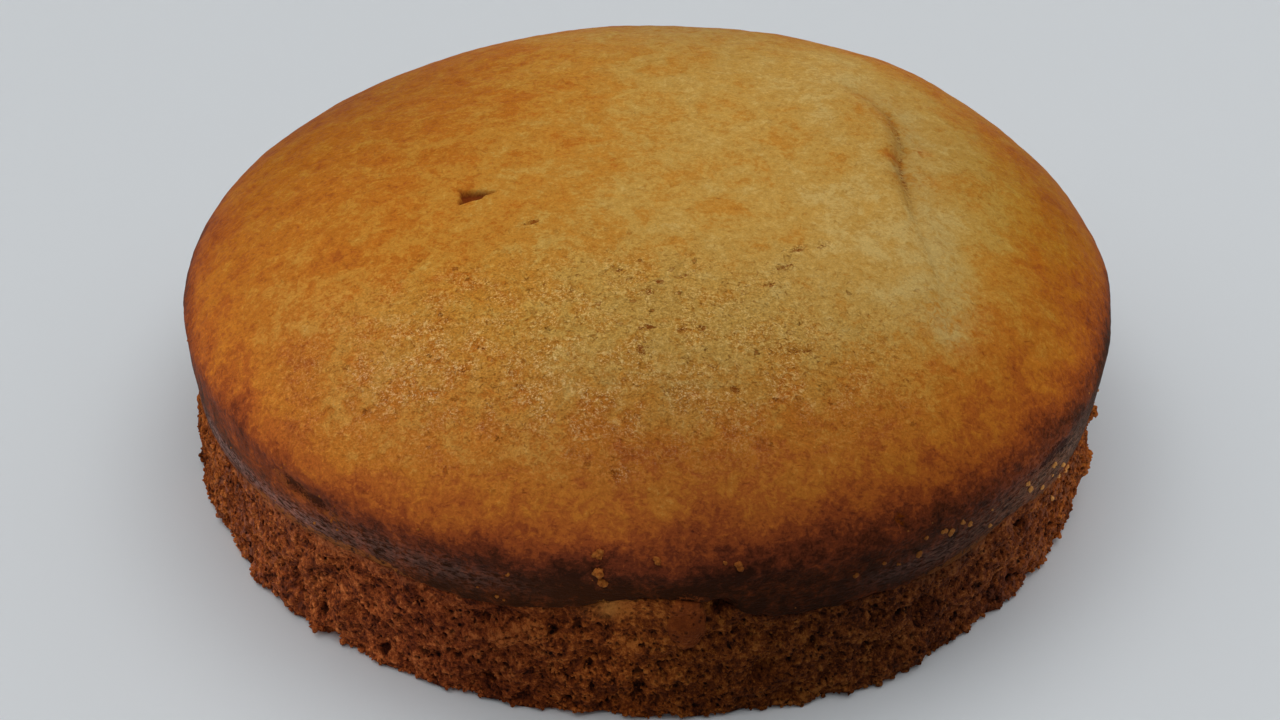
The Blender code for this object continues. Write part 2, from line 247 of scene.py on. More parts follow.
# Browner and paler patches of the dome: place, half width, how much
BROWN_PATCHES = metres(
    (0, 1, 2),
    (51, 2, 2.4, 0.25), (40.9, -1.1, 3.5, 0.12), (34, 19.8, 3, 0.08), (35.5, 8.6, 3, 0.07),
    (69.6, -25.7, 5, 0.07), (84.6, -21.8, 7, 0.1), (49, 18, 5, 0.14), (59.8, 7.3, 2.4, 0.22),
    (66, -5.4, 7, 0.12), (-36, 40, 22, 0.08), (-20, 6, 15, 0.07), (44, 24, 9, 0.08),
    (30, -66, 12, 0.05), (-62, 10, 26, 0.04), (-34, 21, 8, 0.07), (-53, 28, 7, 0.06),
)
PALE_PATCHES = metres(
    (0, 1, 2),
    (50, 31, 8, 0.4), (58, 22, 6, 0.25), (55.5, -43.5, 8, 0.8), (36, -46, 16, 0.2),
    (58.6, -51.3, 3.5, 0.9), (60.8, -22.1, 4, 0.5), (60, -36, 4, 0.4), (58, -28, 5, 0.5),
    (53.2, -2.5, 2.6, 0.9), (57, 12, 4, 0.4), (4, 74, 16, 0.5),
)
PALE_STRIP = (4.5 * MM, 4.0 * MM, 0.6)
# The split's dark line and its browner, shaded side: where they start and over what length they come, and
# widths
# The dark line is a painted shadow in the groove; the side is also darkened with painted shade
SPLIT_DARK_FROM = -26 * MM
SPLIT_DARK_BLUR = 22 * MM
SPLIT_LINE = 0.7 * MM
SPLIT_LINE_HOLLOW = 0.36
SPLIT_SIDE = 0.6 * MM
SPLIT_SIDE_WIDTH = 2.2 * MM
SPLIT_PAINTED_SHADE = 0.2
SPLIT_BROWNING = 0.1
# Where the crust is most finely pitted and has painted glints (highlights): middle, half width, half depth
SPARKLE = (-10 * MM, -62 * MM, 54 * MM, 22 * MM)
# The zone of painted glints also follows the pale rims of the slits
SLIT_SPARKLE = 0.4

# Pores of the wall: cell size, least and most radius, share of the cells that have one, seed
PORES = metres((0, 1, 2), (2.6, 0.5, 1.1, 0.4, 31), (1.5, 0.38, 0.72, 0.8, 32), (1, 0.3, 0.5, 0.7, 33))
# Knobs of crumb between them, in the same terms, and how far they stand out
KNOBS = metres((0, 1, 2), (1.5, 0.45, 0.8, 0.6, 37), (1, 0.35, 0.55, 0.9, 38))
KNOB_HEIGHT = 0.55
KNOB_SHADE = 0.45 * MM
# How flat the pores are, how deep for their radius, and how dark the larger holes are, as painted shade
PORE_STRETCH = (1, 1, 0.75)
PORE_DEPTH = 1.05
HOLE_DARKNESS = 1.4
PORE_WARP = (1.4 * MM, 0.5 * MM)
# The whole wall comes out a little, but its relief fades at the foot
WALL_LIFT = 0.12 * MM
FOOT_FADE = 0.9 * MM
FOOT_FLATNESS = 2 * MM
WALL_BUMPS = metres((0, 1), (3, 0.22), (1.4, 0.24), (0.8, 0.14))
# How light a ridge of the wall is, and how much lighter, as painted light, with each millimetre that it
# stands out
RIDGE = 0.42
RIDGE_RISE = 0.8
# Near the band the pores fade and the wall comes out to the lip, but not under the shadowed front
LIP_BLEND = 2.6 * MM
LIP_SMOOTHING = 0.75
FLUSH_LIFT = 0.5 * MM
FLUSH_RISE = 0.6 * MM
UNDERCUT = metres((1,), (292, 24, 1))
# Where the band's lower edge is tan, and not darkened with painted shade: direction, half width, height of
# the tan
TAN_EDGES = metres(
    (1, 2),
    (208, 12, 0.5), (225, 14, 1.8), (238, 12, 1.8), (307.5, 10, 2), (325, 14, 1), (95, 70, 2),
    (170, 34, 2),
)
TAN_EDGE_FULL = 1.0 * MM
TAN_EDGE_BLUR = 1.4 * MM
# Painted shade on the wall under the band's lower edge, and on the crust just above it, where not tan
UNDER_LIP_PAINTED_SHADE = 0.14
LIP_PAINTED_SHADE = 0.07
WALL_BUMP_SEED = 34
PORE_SEED = 35

# Where the wall is torn open to pale crumb, orange, or covered by smooth skin:
# direction, height, half width, half height, how much
TORN_SPOTS = metres((1, 2, 3), (266.5, 27.6, 1.6, 1.6, 0.8), (266, 28.2, 4, 2.6, 0.3))
ORANGE_SPOTS = metres(
    (1, 2, 3),
    (268, 28.6, 5, 3.2, 0.9), (268.8, 18.5, 8, 6, 0.35), (322.9, 20.9, 2.4, 2.2, 0.7),
    (297, 11, 7, 3, 0.3), (341.5, 21, 4, 3, 0.6), (255.2, 18.3, 2.8, 2.2, 1.3),
    (258.7, 20.8, 2.4, 2.4, 1.3), (340.5, 10.4, 5, 4, 0.8), (204, 15, 14, 7, 0.5),
)
SMOOTH_SPOTS = metres((1, 2, 3), (269.6, 28, 4.4, 3.2, 1), (272.6, 25.5, 2.6, 4, 0.8))
SKIN_SPOTS = metres((1, 2, 3), (274.5, 27, 3.4, 5.8, 1), (275.3, 23, 3, 4, 0.6))
# Edge of that skin: the strength at which it starts, its blur, and how much it wanders, at which size
SKIN_EDGE = (0.42, 0.12, 0.12, 2 * MM)
SKIN_SEED = 40
SKIN_THICKNESS = 0.5 * MM
SKIN_SMOOTHING = 0.8
# Painted light on the upper part of the skin: how much, from which height, over what blur
SKIN_PAINTED_LIGHT = 0.3
SKIN_PAINTED_LIGHT_FROM = 24 * MM
SKIN_PAINTED_LIGHT_BLUR = 5 * MM
# Spots that the crust's material shows by name, and where the wall is less yellow, dull, ruddy or streaked
CRUST_SPOTS = {"raw": RAW_SPOTS, "torn": TORN_SPOTS, "flap": SKIN_SPOTS, "scar": SCARS, "painted_sheen": PAINTED_SHEEN_SPOTS}
WALL_ZONES = {
    "cool": metres((1,), (231, 50, 1.0), (308, 36, 1.0)),
    "dull": metres((1,), (293, 34, 1.0)),
    "ruddy": metres((1,), (250, 22, 1.0)),
    "streaks": metres((1,), (331, 26, 1.0), (212, 22, 0.8)),
}
# Larger holes of the wall: direction, height, radius
HOLES = metres(
    (1, 2),
    (320.1, 18.9, 1.5), (269.8, 7.3, 1.3), (269.7, 13.1, 0.9), (255.3, 10.1, 1), (272.2, 14.9, 0.9),
    (274.3, 18.8, 1.2), (260.6, 21.6, 1.2), (278.2, 28.2, 1.4), (299.7, 16.2, 1.2), (308.4, 7.2, 1.3),
    (253, 21.6, 1.1), (213.7, 17.1, 1.6), (211.5, 7.2, 1), (231.4, 5.9, 1.3), (227.8, 7.4, 1.1),
    (253.3, 5.6, 1.3), (312, 12, 1.2),
)
# More of them: how many, least and most height, least and most radius, seed
MORE_HOLES = (70, 2.5 * MM, 21 * MM, 0.6 * MM, 1.3 * MM, 36)

# Grains that stand out of the wall: zone, how many, least and most radius, how deep they sit, seed
GRAINS = metres(
    (2, 3),
    ("wall", 3200, 0.2, 0.45, 0.3, 41), ("foot", 900, 0.24, 0.55, 0.3, 42),
    ("foot", 80, 0.5, 0.95, 0.1, 44),
)
FOOT_ZONE = 2.2 * MM
GRAIN_RISE = 0.3
GRAIN_RIDGE = 0.65
GRAIN_LEAST_HEIGHT = 0.3 * MM
GRAIN_GAP = 1.5 * MM
GRAIN_DEPTH = 4 * MM
SKIN_BARE = 0.3
COARSE_RADIUS = 0.5 * MM
# Chunks of crumb: direction, height, reach, how many lumps
CHUNKS = metres(
    (1, 2),
    (341.3, 10.2, 2.4, 12), (338.8, 8.6, 3.4, 5), (342.5, 21, 1.8, 5), (255.2, 18.3, 2.4, 14),
    (258.7, 20.8, 2.2, 14), (206, 17, 1.6, 4),
)
CHUNK_SEED = 43
CHUNK_RADII = (0.35 * MM, 0.8 * MM)
# Lumps: how far they are stretched, how bumpy they are, how many bumps, least height over the floor
LUMP_STRETCH = (0.7, 1.2)
LUMP_BUMPS = 0.55
LUMP_PACE = 1.7
LUMP_SHIFT = 90
LUMP_FLOOR = 0.05 * MM
SEED_STEP = 10000

# Golden crumbs that lie on the band: direction, height, width
GOLDEN_CRUMBS = metres(
    (1, 2),
    (265.3, 41.7, 1.8), (265.3, 38.8, 2.4), (265.9, 36.2, 1.9), (271.4, 40.6, 1.7), (278.4, 39.8, 0.9),
    (279.8, 39.2, 1.6), (256, 34.9, 0.8), (254.6, 28.2, 0.9), (255.4, 27.5, 0.8), (293.1, 31.8, 1.2),
    (296.4, 32.5, 0.8), (298.3, 30.9, 0.8), (300.8, 31.4, 1.5), (301.6, 35.5, 1), (304, 35, 1.5),
    (305.1, 33.6, 1.3), (306.6, 35, 1.2), (307.9, 33.3, 1.3), (311.8, 28.9, 0.9), (317.7, 33.9, 1.3),
    (318.6, 31.1, 1.5), (322.3, 27.2, 1.3), (324.1, 31.3, 1.2), (327.2, 27, 1.4), (328.2, 23.2, 1.5),
    (331, 21.2, 1.4), (327.8, 17.2, 1.3),
)
CRUMB_LUMPS = 3
CRUMB_SCATTER = 0.28
CRUMB_RISE = 0.06
CRUMB_RADII = (0.28, 0.42)
# Fine crumbs strewn all round, and where all are paler and, with painted light, brighter: direction, half
# width
STRAY_CRUMBS = 60
STRAY_CRUMB_HEIGHTS = (26 * MM, 41 * MM)
STRAY_CRUMB_WIDTHS = (0.3 * MM, 0.7 * MM)
PALE_CRUMBS = (322, 32 * MM)
# How much painted light the crumbs get there
PALE_LIGHT = 0.5
CRUMB_SEED = 44

# Camera: eye, pitch below the horizon and roll in degrees, lens on a 36 mm wide sensor
EYE = (-1.5 * MM, -330.9 * MM, 261.9 * MM)
PITCH = 37.31
ROLL = 1.416
LENS = 50.0

# Stage: a floor disc that curves up into a low wall
FLOOR_RADIUS = 2.6
COVE_RADIUS = 0.6
COVE_STEPS = 16
WALL_HEIGHT = 1.2
STAGE_STEPS = 96
FLOOR_COLOUR = (226, 231, 235)
FLOOR_ROUGHNESS = 0.6

# Soft lights: direction, height in degrees above the floor, strength, angle that it fills, colour
LIGHTS = {
    "top_light": (90, 85, 1.4, 75, (1.0, 0.99, 0.98)),
    "key_light": (165, 38, 0.75, 70, (1.0, 0.985, 0.96)),
    "right_light": (36, 40, 0.5, 70, (1.0, 0.99, 0.98)),
}
SKY_COLOUR = (214, 224, 238)
SKY_STRENGTH = 0.06

# Colours of the crust by its browning, and of the crumb by its lightness: position, red, green, blue
CRUST_STOPS = (
    (0, 214, 178, 104), (0.18, 208, 160, 76), (0.32, 206, 141, 52), (0.46, 200, 119, 35),
    (0.58, 186, 99, 32), (0.7, 160, 77, 29), (0.82, 122, 56, 25), (0.92, 86, 41, 18), (1, 62, 31, 13),
)
CRUMB_STOPS = ((0.05, 60, 25, 9), (0.35, 108, 49, 17), (0.62, 150, 74, 25), (0.90, 192, 108, 42))
GOLDEN_STOPS = ((0.3, 128, 64, 24), (0.5, 168, 94, 36), (0.75, 196, 124, 56))
# Marks of the crust with a ragged edge
CRUST_MARKS = ("raw", "scar", "lip", "torn", "flap")
# Smooth steps of the materials: where they start and end, and their values there if not 0 and 1
STEPS = {
    "wrinkled": (0.5, 0.8), "clear": (0, 0.7, 0.4, 1), "on dome": (0.62, 0.42), "pale": (0.3, 0.6),
    "speck": (0.42, 0.3), "hole edge": (0.12, 0.05), "hole choice": (0.5, 0.6), "hole zone": (-0.15, 0.6),
    "glint zone": (0.4, 0.6), "sparkling": (0.1, 0.8), "streak": (0.045, 0.008), "broken": (0.46, 0.58),
    "glow": (0.52, 0.68), "crack": (0.05, 0.015), "cracked": (0.12, 0.4), "slit": (0.85, 1.15),
    "painted_sheen": (0.38, 0.56), "raw": (0.3, 0.7), "scar": (0.38, 0.54), "lip": (0.35, 0.8), "torn": (0.3, 0.8),
    "flap": (0.3, 0.6), "crust roughness": (0.3, 0.7, 0.45, 0.62), "pit edge": (0.46, 0.2),
    "pit choice": (0.6, 0.4), "fibre": (0.5, 0.62), "gap": (0.48, 0.36), "joint": (0.3, 0.9),
    "pore": (0.1, 0.8, 0, 0.85), "crumb roughness": (0.2, 0.8, 0.85, 0.62),
    "golden roughness": (0.2, 0.8, 0.8, 0.6),
}
# What is painted over the crust, over the crumb and over golden crumbs: strength, red, green, blue
# Of these, the glints are painted highlights and the band's greyish sheen is a painted reflection
PAINTS = {
    "pale crust": (0.7, 204, 172, 104), "speck": (0.65, 160, 88, 20), "hole": (0.55, 148, 70, 8),
    "glint": (0.85, 240, 204, 132), "slit": (0.88, 132, 60, 2), "notch": (0.92, 112, 42, 12),
    "painted_sheen": (0.75, 132, 102, 94), "raw": (0.75, 142, 74, 28), "scar": (0.8, 44, 18, 8),
    "lip": (0.7, 146, 84, 38), "torn": (0.8, 206, 136, 60), "flap": (0.85, 150, 74, 34),
    "fibre": (0.6, 152, 98, 66), "gap": (0.55, 44, 18, 8), "joint": (0.5, 144, 82, 36),
    "skin": (0.6, 140, 64, 24), "pale crumb": (0.7, 196, 144, 82),
}
TORN_CRUMB = (204, 132, 58)
# Near-black painted shade in the pores and small pits of the crumb
PORE_SHADE_COLOUR = (34, 14, 6)
CRUST_GLOSS = 0.02
CRUMB_GLOSS = 0.04
GOLDEN_GLOSS = 0.06
# Noises of each material: size in millimetres, detail, roughness, distortion, stretch along each axis
CRUST_NOISES = {
    "clouds": (26, 2, 0.5), "blotches": (7, 3, 0.6, 0.5), "mottles": (2.2, 3, 0.65, 0.8),
    "grain": (0.9, 3, 0.7, 0.5), "fine": (0.42, 2, 0.6),
    "wrinkles": (0.7, 3, 0.65, 0.8, (0.42, 0.42, 1.2)),
    "specks": (1.3, 3, 0.7, 1.0), "zones": (7, 3, 0.65), "streaks": (1.5, 3, 0.7, 1.0),
    "cracks": (1.4, 3, 0.7, 0.6, (0.6, 1.5, 1)),
}
CRUMB_NOISES = {
    "clouds": (16, 2, 0.5), "blotches": (4.5, 3, 0.6), "mottles": (2, 3, 0.6),
    "grain": (0.9, 3, 0.6, 0.3), "fine": (0.35, 2, 0.6), "fibres": (1.1, 3, 0.65, 0.8, (1, 1, 0.28)),
}
GOLDEN_NOISES = {"grain": (0.7, 3, 0.6), "fine": (0.4, 2, 0.6)}
# Crust: how strongly noises and marks change its tone, light, relief and ragged edges
CRUST_TONE = {"clouds": 0.25, "blotches": 0.48, "mottles": -0.3, "grain": -0.35}
CRUST_LIGHT = {"grain": 0.85, "fine": 1.15}
CRUST_RELIEF = {"fine": 0.2, "grain": 0.45}
CRUST_RAGGED = {"mottles": 4.0, "grain": 6.0}
MARK_RELIEFS = {"speck": -0.15, "hole": -0.3, "scar": -0.3}
MOTTLE_LIGHT = 0.4
MOTTLE_RELIEF = 0.3
WRINKLE_TONE = -0.5
WRINKLE_LIGHT = 2.8
WRINKLE_RELIEF = 1.0
LEAST_WRINKLED = 0.2
HOLE_RAGGED = 0.7
# How strong the bright flecks among the painted glints are
GLOW_STRENGTH = 0.55
# Crumb: the same, with its orange spots, its joint with the band, its torn place and its small pits
CRUMB_TONE = {"clouds": 0.5, "blotches": 0.9, "mottles": 0.8, "grain": 1.1, "fine": 0.8}
CRUMB_RELIEF = {"fine": 0.3, "grain": 0.8}
ORANGE_TONE = 0.35
JOINT_RAGGED = 5.0
TORN_STRENGTH = 0.8
TORN_CLEARNESS = 0.6
# How dark the small pits are painted, as painted shade, and how deep their relief is
PIT_DARKNESS = 0.6
PIT_RELIEF = -0.35
GOLDEN_RELIEF = 0.2
# Size in millimetres of the cells in which the crust's small holes and the crumb's pits lie
CRUST_CELLS = 4.5
CRUMB_CELLS = 0.9
# Tints by name, which multiply the colour
CRUST_TINTS = {"cool": (1.0, 1.03, 1.55, 1.0), "warm": (1.0, 0.98, 0.6, 1.0)}
CRUMB_TINTS = {
    "cool": (1.0, 1.04, 1.75, 1.0),
    "dull": (1.03, 1.18, 1.15, 1.0),
    "ruddy": (1.02, 0.93, 1.1, 1.0),
}

# Numbers that mix a seed and three whole numbers into one that looks random
HASH_FACTORS = (73856093, 19349663, 83492791)
HASH_SEED = 2654435761
HASH_MIX = 2246822519
HASH_ROUNDS = 3
LOW_BITS = 0xFFFFFFFF
# What is added to a seed for a hollow's place, its radius and whether it is there
PLACE_SEEDS = (10, 20, 30)
RADIUS_SEED = 40
CHOICE_SEED = 50
NOISE_SHIFTS = range(100)


def bell(distance, half_width):
    """Smooth hump: 1 in the middle, and nearly 0 at two half widths."""
    return np.exp(-(distance / half_width) ** 2)


def ease(share):
    """Smooth step from 0 to 1 as the share goes from 0 to 1."""
    share = np.clip(share, 0, 1)
    return share * share * (3 - 2 * share)


def between(value, start, end):
    """Smooth step from 0 to 1 as the value goes from start to end."""
    return ease((value - start) / (end - start))


def along_rim(theta, degrees):
    """Distance round the rim from a direction."""
    turn = (theta - math.radians(degrees) + math.pi) % TURN - math.pi
    return turn * RIM_RADIUS


def ring_waves(theta, waves):
    """Sum of whole waves round the axis, each with its count and its cosine and sine heights."""
    return sum(even * np.cos(count * theta) + odd * np.sin(count * theta) for count, even, odd in waves)


def wall_ripples(seed, theta, height):
    """Seeded waves over the unrolled wall, which close round the axis, scaled to a spread of 1."""
    draw = random.Random(seed)
    total = np.zeros_like(theta)
    for _ in range(CRAG_WAVES):
        length = draw.uniform(*CRAG_LENGTHS)
        lean = draw.uniform(0, TURN)
        around = round(TURN * RIM_RADIUS * math.cos(lean) / length)
        upward = TURN * math.sin(lean) / length
        total += np.cos(around * theta + upward * height + draw.uniform(0, TURN))
    return total * math.sqrt(2 / CRAG_WAVES)


def crust_ripples(x, y):
    """Slow seeded waves over the crust, scaled to a spread of 1."""
    draw = random.Random(CRUST_SEED)
    total = np.zeros_like(x)
    for _ in range(CRUST_WAVES):
        pace = TURN / draw.uniform(*CRUST_LENGTHS)
        lean = draw.uniform(0, TURN)
        total += np.cos(pace * (x * math.cos(lean) + y * math.sin(lean)) + draw.uniform(0, TURN))
    return total * math.sqrt(2 / CRUST_WAVES)


def ring_bells(theta, bells):
    """Sum of smooth humps round the axis, each with its direction, half width and rise."""
    return sum(rise * bell(along_rim(theta, degrees), width) for degrees, width, rise in bells)


def spots(theta, height, places):
    """Sum of smooth spots on the wall, each with its direction, height, half sizes and strength."""
    return sum(amount * bell(along_rim(theta, degrees), width) * bell(height - level, tall)
               for degrees, level, width, tall, amount in places)


def patches(x, y, places):
    """Sum of smooth round patches of the dome, each with its place, half width and strength."""
    return sum(amount * bell(np.hypot(x - place_x, y - place_y), width)
               for place_x, place_y, width, amount in places)


def tan_edges(theta):
    """Height of the tan at the band's lower edge in each direction, and its share of a full one."""
    tall = ring_bells(theta, TAN_EDGES)
    return tall, np.clip(tall / TAN_EDGE_FULL, 0, 1)


def band_bottom(theta):
    """Height of the band's lower edge in each direction."""
    return BAND_BOTTOM + ring_bells(theta, BAND_EDGE_RISES)


def split_path():
    """Points close together along a smooth curve through the split's own points."""
    points = np.array(SPLIT_POINTS)
    ends = np.vstack([2 * points[0] - points[1], points, 2 * points[-1] - points[-2]])
    path = []
    for before, start, end, after in zip(ends, ends[1:], ends[2:], ends[3:]):
        for t in np.arange(SPLIT_STEPS) / SPLIT_STEPS:
            bend = 2 * before - 5 * start + 4 * end - after
            twist = 3 * start - before - 3 * end + after
            path.append(start + 0.5 * t * (end - before + t * (bend + t * twist)))
    return np.array(path + [points[-1]])


def beside_split(x, y):
    """Distance from the split, positive on its right, and how much of the split is left there."""
    path = split_path()
    gaps = np.hypot(x[:, None] - path[:, 0], y[:, None] - path[:, 1])
    nearest = gaps.argmin(axis=1)
    distance = gaps.min(axis=1) * np.sign(x - path[nearest, 0])
    return distance, np.sin(math.pi * nearest / (len(path) - 1)) ** SPLIT_FADE


def dome_relief(x, y):
    """How far each point of the dome is lifted: slow waves, the swelling and the split."""
    distance, fade = beside_split(x, y)
    split = sum(height * bell(distance - place, wide) for place, wide, height in (BANK, GROOVE, STRIP))
    return CRUST_HEIGHT * crust_ripples(x, y) + patches(x, y, [SWELLING]) + fade * split


def wall_relief(theta, height, bottom):
    """How far each point of the wall stands out; crags fade towards the band, and marks do not."""
    crags = CRAG_HEIGHT * wall_ripples(CRAG_SEED, theta, height)
    deep = np.clip(wall_ripples(HOLLOW_SEED, theta, height) - HOLLOW_START, 0, None)
    rough = (crags - HOLLOW_DEPTH * deep) * ease((bottom - height) / CRAG_FADE)
    return rough + spots(theta, height, WALL_MARKS)


def shaped(points):
    """Move the points of the plain turned skin to where they lie on the uneven cake."""
    x, y, z = points.T
    radius = np.hypot(x, y)
    theta = np.arctan2(y, x)
    share = radius / RIM_RADIUS
    tilt = ring_waves(theta, SHOULDER_WAVES)
    bottom = band_bottom(theta)
    stretch = (SHOULDER_HEIGHT + tilt - bottom) / (SHOULDER_HEIGHT - BAND_BOTTOM)
    on_wall = z <= BAND_BOTTOM
    on_dome = (z > SHOULDER_HEIGHT) | (radius < MERGE)

    side_height = np.where(on_wall, z * bottom / BAND_BOTTOM, bottom + (z - BAND_BOTTOM) * stretch)
    side_radius = radius + wall_relief(theta, side_height, bottom)
    swell = ring_waves(theta, RIM_WAVES) + ring_bells(theta, RIM_SWELLINGS)
    new_radius = np.where(on_dome, radius, side_radius) + swell * share ** 3
    foot = 1 - np.clip(side_height / bottom, 0, 1)
    shift_x, shift_y = np.where(on_dome, np.outer(APEX_SHIFT, 1 - share), np.outer(BASE_SHIFT, foot))
    new_x = new_radius * np.cos(theta) + shift_x
    new_y = new_radius * np.sin(theta) + shift_y
    new_z = np.where(on_dome, z + tilt * share ** 2 + dome_relief(new_x, new_y), side_height)
    return np.stack([new_x, new_y, new_z], axis=1)


def ripples(points, size, seed):
    """Smooth noise of about the given size at each point, from about -0.7 to 0.7."""
    shift = np.array(random.Random(seed).sample(NOISE_SHIFTS, 3))
    return np.array([noise.noise(place) for place in (points / size + shift).tolist()])


def layers(points, sizes, seed):
    """Sum of smooth noises, each with its size and height."""
    return sum(height * ripples(points, size, seed + i) for i, (size, height) in enumerate(sizes))


def scattered(cells, seed):
    """A number from 0 to 1 for each whole-number cell, the same each run."""
    low = np.uint64(LOW_BITS)
    x, y, z = (cells.astype(np.int64) & LOW_BITS).astype(np.uint64).T
    by_x, by_y, by_z = np.array(HASH_FACTORS, dtype=np.uint64)
    mixed = x * by_x ^ y * by_y ^ z * by_z
    mixed = (mixed + np.uint64(seed * HASH_SEED)) & low
    for _ in range(HASH_ROUNDS):
        mixed ^= mixed >> np.uint64(15)
        mixed = mixed * np.uint64(HASH_MIX) & low
    return (mixed >> np.uint64(8)) / float(1 << 24)


def bowls(points, cell, least, most, share, seed):
    """Round hollows strewn through space: 1 in the middle of one, 0 at its edge, and their radius there."""
    home = np.floor(points / cell)
    best = np.zeros(len(points))
    size = np.zeros(len(points))
    for step in np.ndindex(3, 3, 3):
        cells = home + np.array(step) - 1
        centre = np.stack([scattered(cells, seed + more) for more in PLACE_SEEDS], axis=1)
        radius = least + (most - least) * scattered(cells, seed + RADIUS_SEED) ** 2
        gap = np.linalg.norm(points - (cells + centre) * cell, axis=1)
        value = np.where(scattered(cells, seed + CHOICE_SEED) < share, 1 - (gap / radius) ** 2, 0)
        size = np.where(value > best, radius, size)
        best = np.maximum(best, value)
    return best, size


def even_rows(rows, spacing):
    """Points at an even spacing along a profile."""
    rows = np.array(rows)
    lengths = np.concatenate([[0], np.cumsum(np.hypot(*np.diff(rows, axis=0).T))])
    places = np.linspace(0, lengths[-1], round(lengths[-1] / spacing) + 1)
    return np.stack([np.interp(places, lengths, rows[:, i]) for i in range(2)], axis=1).tolist()


def dome_rows():
    """Profile from the apex to the shoulder."""
    swing = np.linspace(math.pi / 2, 0, DOME_STEPS)
    radius = RIM_RADIUS * np.cos(swing) ** (2 / DOME_FLATNESS)
    lift = np.sin(swing) ** (2 / SHOULDER_ROUNDNESS)
    radius[0] = 0
    height = SHOULDER_HEIGHT + (HEIGHT - SHOULDER_HEIGHT) * lift
    return even_rows(np.stack([radius, height], axis=1), CRUST_SPACING)


def band_rows():
    """Profile from just under the shoulder to the lip at the band's lower edge."""
    share = np.linspace(0, 1, round((SHOULDER_HEIGHT - BAND_BOTTOM) / CRUST_SPACING) + 1)[1:]
    height = SHOULDER_HEIGHT + (BAND_BOTTOM - SHOULDER_HEIGHT) * share
    return list(zip(RIM_RADIUS - LIP_TUCK * share ** 2, height))


def inset_rows(rows):
    """Profile rows from insets and heights in millimetres."""
    return [(RIM_RADIUS - inset * MM, height * MM) for inset, height in rows]


def wall_rows():
    """Profile from the crease under the lip to the foot, which tucks in."""
    top = (RIM_RADIUS - LIP_TUCK - CREASE_DEPTH, BAND_BOTTOM - CREASE_DROP)
    rows = [top, (BASE_RADIUS, FOOT_HEIGHT)]
    for step in range(1, FOOT_STEPS + 1):
        swing = math.pi / 2 * step / FOOT_STEPS
        rows.append((BASE_RADIUS - FOOT_TUCK * (1 - math.cos(swing)), FOOT_HEIGHT * (1 - math.sin(swing))))
    return even_rows(rows, WALL_SPACING)


def ring_count(radius, columns):
    """Columns of a ring, halved each time its radius halves, so that they don't crowd together."""
    halvings = max(0, math.ceil(math.log2(HALVING_RADIUS / max(radius, MERGE))))
    return max(columns >> halvings, LEAST_COLUMNS)


def ring_faces(upper, lower):
    """Faces between two rings of points, of which the upper may have half as many."""
    count = len(upper)
    if count == len(lower):
        return [(upper[k], lower[k], lower[(k + 1) % count], upper[(k + 1) % count]) for k in range(count)]
    faces = []
    for k in range(count):
        after = (k + 1) % count
        faces.append((upper[k], lower[2 * k], lower[2 * k + 1]))
        faces.append((upper[k], lower[2 * k + 1], lower[2 * after], upper[after]))
    return faces


def turned_points(rows, columns):
    """Points and faces of a turned profile, listed from its top; a row on the axis is one point."""
    points = []
    faces = []
    before = None
    for radius, height in rows:
        if radius < MERGE:
            points.append((0.0, 0.0, height))
            before = [0]
            continue
        count = ring_count(radius, columns)
        ring = list(range(len(points), len(points) + count))
        turns = TURN * np.arange(count) / count
        points.extend(zip(radius * np.cos(turns), radius * np.sin(turns), [height] * count))
        if before == [0]:
            faces.extend((0, ring[k], ring[(k + 1) % count]) for k in range(count))
        elif before:
            faces.extend(ring_faces(before, ring))
        before = ring
    return points, faces, before


def mesh_object(name, points, faces, edges=()):
    """A new mesh object of the scene."""
    mesh = bpy.data.meshes.new(name)
    mesh.from_pydata(points, edges, faces)
    thing = bpy.data.objects.new(name, mesh)
    bpy.context.scene.collection.objects.link(thing)
    return thing


def read_points(mesh):
    """The mesh's points as rows of x, y and z."""
    points = np.empty(len(mesh.vertices) * 3)
    mesh.vertices.foreach_get("co", points)
    return points.reshape(-1, 3)


def read_normals(mesh):
    """The direction outwards at each point of the mesh."""
    normals = np.empty(len(mesh.vertices) * 3)
    mesh.vertex_normals.foreach_get("vector", normals)
    return normals.reshape(-1, 3)


def write_points(mesh, points):
    """Move the mesh's points."""
    mesh.vertices.foreach_set("co", points.ravel())
    mesh.update()


def write_values(mesh, **named):
    """Keep numbers for each point of the mesh, by their names, for its material."""
    for name, values in named.items():
        layer = mesh.attributes.new(name, "FLOAT", "POINT")
        layer.data.foreach_set("value", values.astype(np.float32))


def directions(points):
    """Direction of each point round the axis."""
    return np.arctan2(points[:, 1], points[:, 0])


def refine_crust(thing):
    """Cut every edge near the split, the slits and the missing flake once."""
    bm = bmesh.new()
    bm.from_mesh(thing.data)
    middles = np.array([((edge.verts[0].co + edge.verts[1].co) / 2).to_tuple() for edge in bm.edges])
    x, y, z = middles.T
    share = np.hypot(x, y) / RIM_RADIUS
    x = x + APEX_SHIFT[0] * (1 - share)
    y = y + APEX_SHIFT[1] * (1 - share)
    near = np.abs(beside_split(x, y)[0]) < SPLIT_REACH
    for place_x, place_y, *_ in SLITS:
        near |= np.hypot(x - place_x, y - place_y) < SLIT_REACH
    centre = np.mean(NOTCH_CORNERS, axis=0)
    near |= np.hypot(x - centre[0], y - centre[1]) < NOTCH_REACH
    near &= z > SHOULDER_HEIGHT
    bm.edges.ensure_lookup_table()
    chosen = [bm.edges[i] for i in np.flatnonzero(near)]
    bmesh.ops.subdivide_edges(bm, edges=chosen, cuts=1, use_grid_fill=True)
    bm.to_mesh(thing.data)
    bm.free()


